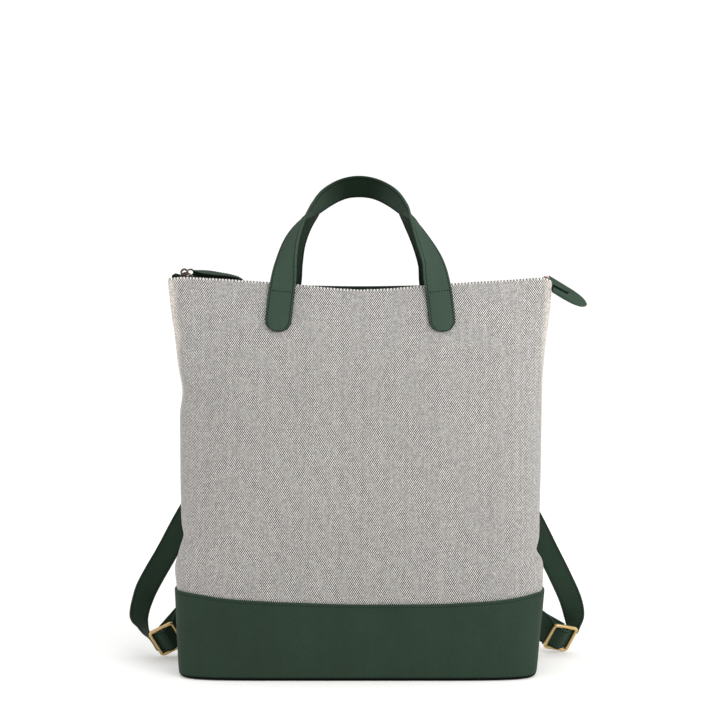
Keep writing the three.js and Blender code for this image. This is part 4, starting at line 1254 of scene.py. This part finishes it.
class BACKPACK_OT_buckles(bpy.types.Operator):
    """Slide buckles of brushed brass."""

    bl_idname = "backpack.buckles"
    bl_label = "Slide buckles"

    def frame_piece(self, name):
        """Square frame with round corners, flat at the origin."""
        obj = added(bpy.ops.mesh.primitive_plane_add, name, size=1)
        obj.scale = (BUCKLE_LONG * MM, BUCKLE_WIDE * MM, 1)
        bpy.ops.object.transform_apply(location=False, rotation=False, scale=True)
        edit(obj)
        bpy.ops.mesh.bevel(affect="VERTICES", offset=BUCKLE_CORNER * MM, segments=6)
        bpy.ops.mesh.inset(thickness=BUCKLE_BAR * MM)
        bpy.ops.mesh.delete(type="FACE")
        bpy.ops.mesh.select_all(action="SELECT")
        bpy.ops.mesh.extrude_region_move(
            TRANSFORM_OT_translate={"value": (0, 0, BUCKLE_THICK * MM)})
        bpy.ops.mesh.select_all(action="SELECT")
        bpy.ops.transform.translate(value=(0, 0, -BUCKLE_THICK / 2 * MM))
        return leave(obj, 40)

    def execute(self, context):
        for name, place in BUCKLES.items():
            obj = self.frame_piece("buckle_" + name + "_brass")
            bar = added(bpy.ops.mesh.primitive_cylinder_add, "bar", vertices=20, radius=1.2 * MM,
                        depth=(BUCKLE_WIDE - 2 * BUCKLE_BAR + 1.0) * MM,
                        rotation=(math.pi / 2, 0, 0))
            bpy.ops.object.transform_apply(location=True, rotation=True, scale=True)
            pick(bar, obj)
            bpy.ops.object.join()
            bevelled(obj, 1.25, 4, 50)
            along, upper, normal, _, middle = buckle_axes(place)
            obj.matrix_world = turned(middle, along, upper, normal)
            pick(obj)
            bpy.ops.object.transform_apply(location=True, rotation=True, scale=True)
            bpy.ops.object.shade_smooth_by_angle(angle=math.radians(60))
            ready(obj, finish_of("brass"), "buckle_brass", "buckle_" + name)
        return {"FINISHED"}


class BACKPACK_OT_strap_patch(bpy.types.Operator):
    """Leather patch over the upper ends of the straps."""

    bl_idname = "backpack.strap_patch"
    bl_label = "Strap patch"

    def lift_at(self, x, z):
        """Distance of the patch from the canvas, more where it lies over the straps."""
        near_side = smooth(0, 12, PATCH_HALF - np.abs(x))
        near_top = smooth(0, 8, PATCH_MIDDLE + PATCH_REACH - z)
        near_edge = np.maximum(near_side, 1 - smooth(362, 378, z))
        return CLEARANCE + 0.3 + (STRAP_THICK + CLEARANCE + 1.1) * near_edge * near_top

    def execute(self, context):
        x, z = np.meshgrid(np.linspace(-PATCH_HALF, PATCH_HALF, 41),
                           np.linspace(-PATCH_REACH, PATCH_REACH, 25))
        over_x = np.maximum(np.abs(x) - (PATCH_HALF - PATCH_CORNER), 0)
        over_z = np.maximum(np.abs(z) - (PATCH_REACH - PATCH_CORNER), 0)
        reach = np.maximum(over_x, over_z)
        round_by = np.where(reach > 0, reach / np.maximum(np.hypot(over_x, over_z), 1e-9), 1)
        x = np.sign(x) * (np.abs(x) - over_x * (1 - round_by))
        z = np.sign(z) * (np.abs(z) - over_z * (1 - round_by))
        margin = np.minimum(PATCH_HALF - np.abs(x), PATCH_REACH - np.abs(z))
        z = z + PATCH_MIDDLE
        point, normal, _, _ = on_wall("back", x, z, CANVAS_WALL)
        top = point + normal * (self.lift_at(x, z) + LEATHER_WALL)[..., None]
        rim = 1 - smooth(0.2, 1.4, margin)
        obj = laid("strap_patch_leather", top, None, {"rim": rim}, angle=60)
        facing(obj, True)
        apply(obj, "SOLIDIFY", thickness=LEATHER_WALL * MM, offset=-1.0)
        bevelled(obj, 0.5, 2, 60)
        ready(obj, finish_of("leather"), "leather", "strap_patch")
        inset, bend = 3.2, 6.0
        turn = np.linspace(0, 2 * math.pi, 161)
        lx, lz = (np.clip(wave * 1.6, -1, 1) * (reach - inset - bend) + wave * bend
                  for wave, reach in ((np.cos(turn), PATCH_HALF), (np.sin(turn), PATCH_REACH)))
        lz = lz + PATCH_MIDDLE
        spot, out, _, _ = on_wall("back", lx, lz, CANVAS_WALL)
        line = spot + out * (self.lift_at(lx, lz) + LEATHER_WALL + 0.1)[:, None]
        sewn("patch_stitching", [(line, out)], finish_of("thread"), "leather")
        return {"FINISHED"}


class BACKPACK_OT_zip(bpy.types.Operator):
    """Zip tapes, tooth chain and the two ends of the zip."""

    bl_idname = "backpack.zip"
    bl_label = "Zip"

    def tape(self, side):
        turn = -1 if side == "front" else 1
        x = np.linspace(ZIP_FROM, ZIP_TO, 123)
        crest = row_at(ZIP_LINE, x)[0]
        wall_point = on_wall(side, x, crest - 4, 0)[0]
        reach = np.maximum(np.abs(wall_point[:, 1]) - 0.9, 2.2)
        near = np.minimum(2.6, reach * 0.5)
        part = np.array([1.0, 0.93, 0.8, 0.65, 0.5, 0.36, 0.22, 0.1, 0.0])
        drop = np.array([4.4, 2.6, 1.3, 0.35, 0.0, 0.25, 0.9, 1.65, 2.4])
        upper = [np.stack([x, turn * (near + (reach - near) * p), crest - d], axis=1)
                 for p, d in zip(part, drop)]
        lower = [np.stack([x, turn * (near + (reach - near) * p * 0.97), crest - d - 1.0], axis=1)
                 for p, d in zip(part[::-1], drop[::-1])]
        ring = np.array(upper + lower + upper[:1]).transpose(1, 0, 2)
        obj = laid("zip_tape_" + side + "_weave", ring, None, None, closed=True, angle=60)
        ready(obj, finish_of("tape"), "zip_tape", "zip_tape_" + side)

    def tooth(self):
        obj = added(bpy.ops.mesh.primitive_cube_add, "tooth", size=1)
        for v in obj.data.vertices:
            wide = 0.72 if v.co.y > 0 else 0.5
            v.co = (v.co.x * TOOTH_LONG * wide * MM, v.co.y * TOOTH_WIDE * MM,
                    v.co.z * TOOTH_TALL * MM)
        bevelled(obj, 0.22, 1)
        return obj

    def execute(self, context):
        for side in SIDES:
            self.tape(side)
        places = []
        for n, x in enumerate(np.arange(TEETH_FROM, TEETH_TO, TOOTH_PITCH)):
            crest = float(row_at(ZIP_LINE, x)[0])
            hand = 1 if n % 2 else -1
            places.append(turned((x, -hand * 0.75, crest - TOOTH_DROP), (hand, 0, 0), (0, hand, 0),
                                 (0, 0, 1)))
        teeth = copies("zip_teeth_chain", self.tooth(), places)
        ready(teeth, finish_of("metal"), "zip_metal", "zip_teeth")
        self.left_end()
        self.stop()
        path = strip_path([(np.array(r[:3]), np.array(r[3:])) for r in ZIP_RIGHT_END], 60)
        obj = strip("zip_end_right_weave", path, 3.4, 1.3, 0, 0.0, 0.0)
        ready(obj, finish_of("tape"), "zip_tape", "zip_end_right")
        return {"FINISHED"}

    def stop(self):
        obj = added(bpy.ops.mesh.primitive_cube_add, "zip_stop_copper", size=1)
        for v in obj.data.vertices:
            v.co = (STOP_X + v.co.x * STOP_LONG, v.co.y * STOP_WIDE,
                    STOP_Z - v.co.x * STOP_FALL + v.co.z * STOP_TALL)
        bevelled(obj, 0.5, 2)
        ready(obj, finish_of("copper"), "zip_metal")

    def left_end(self):
        under = np.array([(-200, 413.6), (-195, 414.2), (-186, 414.5), (-176, 413.9),
                          (-173, 413.7)])
        over = np.array([(-199.6, 416.2), (-196, 418.2), (-191.5, 417.0), (-189.2, 415.6),
                         (-173.4, 414.8)])
        low, high = (sampled(np.linspace(0, 1, 25), np.linspace(0, 1, len(table)), table)
                     for table in (under, over))
        half = 3.25
        rings = []
        for (lx, lz), (hx, hz) in zip(low, high):
            thick = hz - lz
            nip = min(0.5, thick * 0.3)
            pairs = ((-half, nip), (-half + nip, 0), (half - nip, 0), (half, nip),
                     (half, thick - nip), (half - nip, thick), (-half + nip, thick),
                     (-half, thick - nip), (-half, nip))
            rings.append([(lx + (hx - lx) * (q / thick), p, lz + q) for p, q in pairs])
        obj = laid("zip_end_left_weave", np.array(rings), None, None, closed=True, angle=50)
        ready(obj, finish_of("tape"), "zip_tape", "zip_end_left")


class BACKPACK_OT_slider(bpy.types.Operator):
    """Zip slider with its ring and leather pull."""

    bl_idname = "backpack.slider"
    bl_label = "Zip slider"

    def loop(self, name, middle, turn, radius, wire):
        """Round wire loop."""
        obj = added(bpy.ops.mesh.primitive_torus_add, name, location=Vector(middle) * MM,
                    rotation=turn, major_radius=radius * MM, minor_radius=wire * MM,
                    major_segments=40, minor_segments=12)
        bpy.ops.object.transform_apply(location=True, rotation=True, scale=True)
        bpy.ops.object.shade_smooth()
        return obj

    def execute(self, context):
        self.body()
        ring = self.loop("pull_ring_metal", *PULL_RING)
        ready(ring, finish_of("metal"), "zip_metal", "pull_ring")
        self.pull()
        return {"FINISHED"}

    def body(self):
        low, high = (Vector(corner) * MM for corner in SLIDER_CORNERS)
        middle = (low + high) / 2
        obj = added(bpy.ops.mesh.primitive_cube_add, "zip_slider_metal", size=1, location=middle)
        obj.scale = high - low
        bpy.ops.object.transform_apply(location=True, rotation=True, scale=True)
        edit(obj)
        bpy.ops.mesh.subdivide(number_cuts=6)
        bpy.ops.object.mode_set(mode="OBJECT")
        for v in obj.data.vertices:
            nose = 1 - 0.3 * max(0.0, (v.co.x - middle.x) / (high.x - middle.x)) ** 2
            v.co.y *= nose
            # The back of the body's top rises under the bridge: dark metal that stands in for the
            # shade inside the loop
            if v.co.z > middle.z and v.co.y > 0:
                v.co.z += 1.7 * MM * max(0.0, 1 - ((v.co.x - middle.x) / (4.6 * MM)) ** 2)
        bevelled(obj, 0.5, 2, 40)
        bridge = self.loop("bridge", *SLIDER_BRIDGE)
        pick(bridge, obj)
        bpy.ops.object.join()
        bpy.ops.object.shade_smooth_by_angle(angle=math.radians(50))
        ready(obj, finish_of("metal"), "zip_metal", "zip_slider")

    def pull(self):
        at = np.concatenate([np.linspace(-177.4, -166, 12), np.linspace(-165, -127, 26),
                             np.linspace(-126.4, -124.6, 6)])
        half, middle, thick, roll = row_at(PULL, at)
        nip, least = 0.8, 1.2
        shares = np.array([-1, -0.9, -0.6, 0, 0.6, 0.9, 1])
        under = np.concatenate([[1, 1], np.zeros(5), np.ones(12)])
        rings = []
        for x, w, m, h, r in zip(at, np.maximum(half, least), middle, thick, roll):
            across = shares * (w - nip)
            crown = 0.25 * (1 - (across / w) ** 2)
            y = np.concatenate([[-w], across, [w, w], across[::-1], [-w, -w]])
            z = np.concatenate([[h - nip], h + crown, [h - nip, -h + nip], -h - 0 * across,
                                [-h + nip, h - nip]])
            rings.append(np.stack([np.full(len(y), x), y, m + z + y * r], axis=1))
        # Painted shade: the pull's edges and underside are darkened and mixed with the dark shade
        # colour; only the middle of its top stays lit
        dark = np.tile(under, (len(rings), 1))
        marks = {"rim": dark * -2.4, "lining": dark}
        obj = laid("zip_pull_leather", np.array(rings), None, marks, closed=True, angle=50)
        ready(obj, finish_of("handle"), "leather", "zip_pull")
        x = np.linspace(-164, -128.5, 40)
        half, middle, thick, roll = row_at(PULL, x)
        lines = []
        for hand in (1, -1):
            y = hand * (half - 1.9)
            spot = np.stack([x, y, middle + thick + y * roll + 0.2], axis=1)
            lines.append((spot, np.tile((0, 0, 1.0), (len(x), 1))))
        sewn("pull_stitching", lines, finish_of("thread"), "leather")


class BACKPACK_OT_tab(bpy.types.Operator):
    """Folded leather tab on the right end of the zip."""

    bl_idname = "backpack.tab"
    bl_label = "Zip end tab"

    def execute(self, context):
        ahead = unit(np.array(TAB_RUN))
        rise = np.array(TAB_RISE)
        rise = unit(rise - ahead * np.dot(rise, ahead))
        back = -np.cross(ahead, rise)
        if back[1] < 0:
            back = -back
        tip = np.sin(np.linspace(0.1, math.pi / 2, 14))
        at = np.concatenate([np.linspace(-1.4, 34, 36), 34 + 7.2 * tip])
        rings, rims, slots = [], [], []
        for place, rear, front, floor, gap, square in np.stack([at, *row_at(TAB, at)], axis=1):
            inner = gap / 2
            outer = inner + TAB_WALL
            lap = front - floor
            sole = floor + min(2.0, 0.35 * lap)
            heel = floor + min(2.9, 0.5 * lap)
            bend = floor + min(2.4, 0.3 * lap)
            over = min(front + 5.0, rear - 0.6)
            depth = 1 - smooth(16.5, 19, place)
            pairs = np.array([
                (-outer, front - 0.4), (-outer, (front + floor) / 2), (-outer, bend),
                (-outer * 0.75, floor + 0.7), (-inner * 0.6, floor - 0.1), (0, floor - 0.25),
                (inner * 0.6, floor - 0.1), (outer * 0.75, floor + 0.7), (outer, floor + 2.4),
                (outer, (rear + floor) / 2), (outer, rear - 0.4), (outer - 0.4, rear),
                (inner + 0.4, rear), (inner, rear - 0.4), (inner, over), (inner, over - 0.5),
                (inner, heel), (inner * 0.4, sole), (-inner * 0.4, sole),
                (-inner, heel), (-inner, front - 0.4), (-inner - 0.4, front),
                (-outer + 0.4, front), (-outer, front - 0.4),
            ])
            slip = -square * rise[0] / ahead[0]
            start = np.array(TAB_START, float) + ahead * place
            spot = start + np.outer(pairs[:, 0], back) + np.outer(pairs[:, 1], rise)
            flare = 0.36 * np.maximum(pairs[:, 1], 0) * (1 - smooth(2, 12, place))
            rings.append(spot + np.outer(pairs[:, 1] * slip - flare, ahead))
            # Cut edges lighter; painted shade in the floor of the slit, fading out towards the tip
            edge_tone_and_slit_shade, slot = np.zeros((2, len(pairs)))
            edge_tone_and_slit_shade[[11, 12, 21, 22]] = 0.8
            edge_tone_and_slit_shade[15:20] = -2.2 * depth
            slot[15:20] = depth
            rims.append(edge_tone_and_slit_shade)
            slots.append(slot)
        marks = {"rim": np.array(rims), "lining": np.array(slots)}
        obj = laid("zip_end_tab_leather", np.array(rings), None, marks, closed=True, angle=50)
        ready(obj, finish_of("handle"), "leather", "zip_end_tab")
        return {"FINISHED"}


class BACKPACK_OT_stage(bpy.types.Operator):
    """Floor, light and camera."""

    bl_idname = "backpack.stage"
    bl_label = "Stage"

    def light(self, name, kind, place, aim, power, colour, **settings):
        made = bpy.data.lights.new(name, kind)
        made.energy, made.color = power, colour
        for key, value in settings.items():
            setattr(made, key, value)
        obj = bpy.data.objects.new(name, made)
        obj.location = place
        obj.rotation_euler = (Vector(aim) - Vector(place)).to_track_quat("-Z", "Y").to_euler()
        bpy.context.scene.collection.objects.link(obj)

    def room(self, strength):
        """White room: dim as a light, white where the camera sees it."""
        world = bpy.data.worlds.new("white_room")
        world.use_nodes = True
        tree = world.node_tree
        sky = tree.nodes["Background"]
        sky.inputs["Color"].default_value = (1, 1, 1, 1)
        seen = Wire(tree, tree.nodes.new("ShaderNodeLightPath").outputs["Is Camera Ray"])
        plug(tree, sky.inputs["Strength"], seen * (1.05 - strength) + strength)
        return world

    def execute(self, context):
        scene = context.scene
        stage = scene.backpack_stage
        floor = added(bpy.ops.mesh.primitive_plane_add, "floor", size=24, location=(0, 0, -0.0004))
        paper = Finish("pale_paper", Base_Color=(0.94, 0.94, 0.935), Roughness=0.9,
                       Specular_IOR_Level=0.05, Emission_Strength=0.36)
        # Painted light: the floor glows, dimmer near the bag so that its shadow shows and full
        # white further away
        away = paper.node("VectorMath", {"operation": "LENGTH"}, {0: paper.body()}, 1)
        near_glow, far_glow = (0.42, 0.41, 0.395), (1, 1, 1)
        paper.set(Emission_Color=paper.blend(paper.step(0.3, 1.7, away), near_glow, far_glow))
        floor.data.materials.append(paper.material)
        scene.world = self.room(stage.sky)
        panel = {"shape": "DISK", "size": 1.1}
        self.light("key_light", "AREA", (1.0, -1.35, 1.0), (0, 0, 0.25), stage.key,
                   (1.0, 0.99, 0.97), **panel)
        for hand in (-1, 1):
            self.light("side_light", "AREA", (hand * 1.6, -0.1, 0.6), (0, 0, 0.2), stage.side,
                       (1.0, 0.985, 0.96), **panel)
        self.light("overhead_light", "SUN", (0.1, -0.2, 2.0), (0, 0, 0), stage.overhead, (1, 1, 1),
                   angle=math.radians(110))
        camera = bpy.data.objects.new("camera", bpy.data.cameras.new("camera"))
        camera.location = (0, -stage.distance, stage.height)
        camera.rotation_euler = (math.pi / 2, 0, 0)
        camera.data.sensor_width = 36
        camera.data.lens = stage.lens
        camera.data.clip_end = 60
        scene.collection.objects.link(camera)
        scene.camera = camera
        scene.view_settings.view_transform = "Standard"
        return {"FINISHED"}


# Add-on
STEPS = ("stage", "canvas", "base", "handles", "straps", "buckles", "strap_patch", "zip", "slider",
         "tab")


class BACKPACK_PT_sidebar(bpy.types.Panel):
    """Lists the settings and the steps."""

    bl_idname = "BACKPACK_PT_sidebar"
    bl_label = "Canvas Backpack"
    bl_space_type = "VIEW_3D"
    bl_region_type = "UI"
    bl_category = "Backpack"

    def draw(self, context):
        for key in SETTINGS:
            box = self.layout.box()
            group = getattr(context.scene, key)
            for name in group.__annotations__:
                box.prop(group, name)
        for step in STEPS:
            self.layout.operator("backpack." + step)


SETTINGS = {
    "backpack_cloth": ClothSettings,
    "backpack_leather": LeatherSettings,
    "backpack_trim": TrimSettings,
    "backpack_stage": StageSettings,
}
CLASSES = (
    *SETTINGS.values(), BACKPACK_OT_stage, BACKPACK_OT_canvas, BACKPACK_OT_base,
    BACKPACK_OT_handles, BACKPACK_OT_straps, BACKPACK_OT_buckles, BACKPACK_OT_strap_patch,
    BACKPACK_OT_zip, BACKPACK_OT_slider, BACKPACK_OT_tab, BACKPACK_PT_sidebar,
)


def register():
    for made in CLASSES:
        bpy.utils.register_class(made)
    for key, group in SETTINGS.items():
        setattr(bpy.types.Scene, key, bpy.props.PointerProperty(type=group))


def unregister():
    for key in SETTINGS:
        delattr(bpy.types.Scene, key)
    for made in reversed(CLASSES):
        bpy.utils.unregister_class(made)


def main():
    register()
    for step in STEPS:
        getattr(bpy.ops.backpack, step)()


if __name__ == "__main__":
    main()
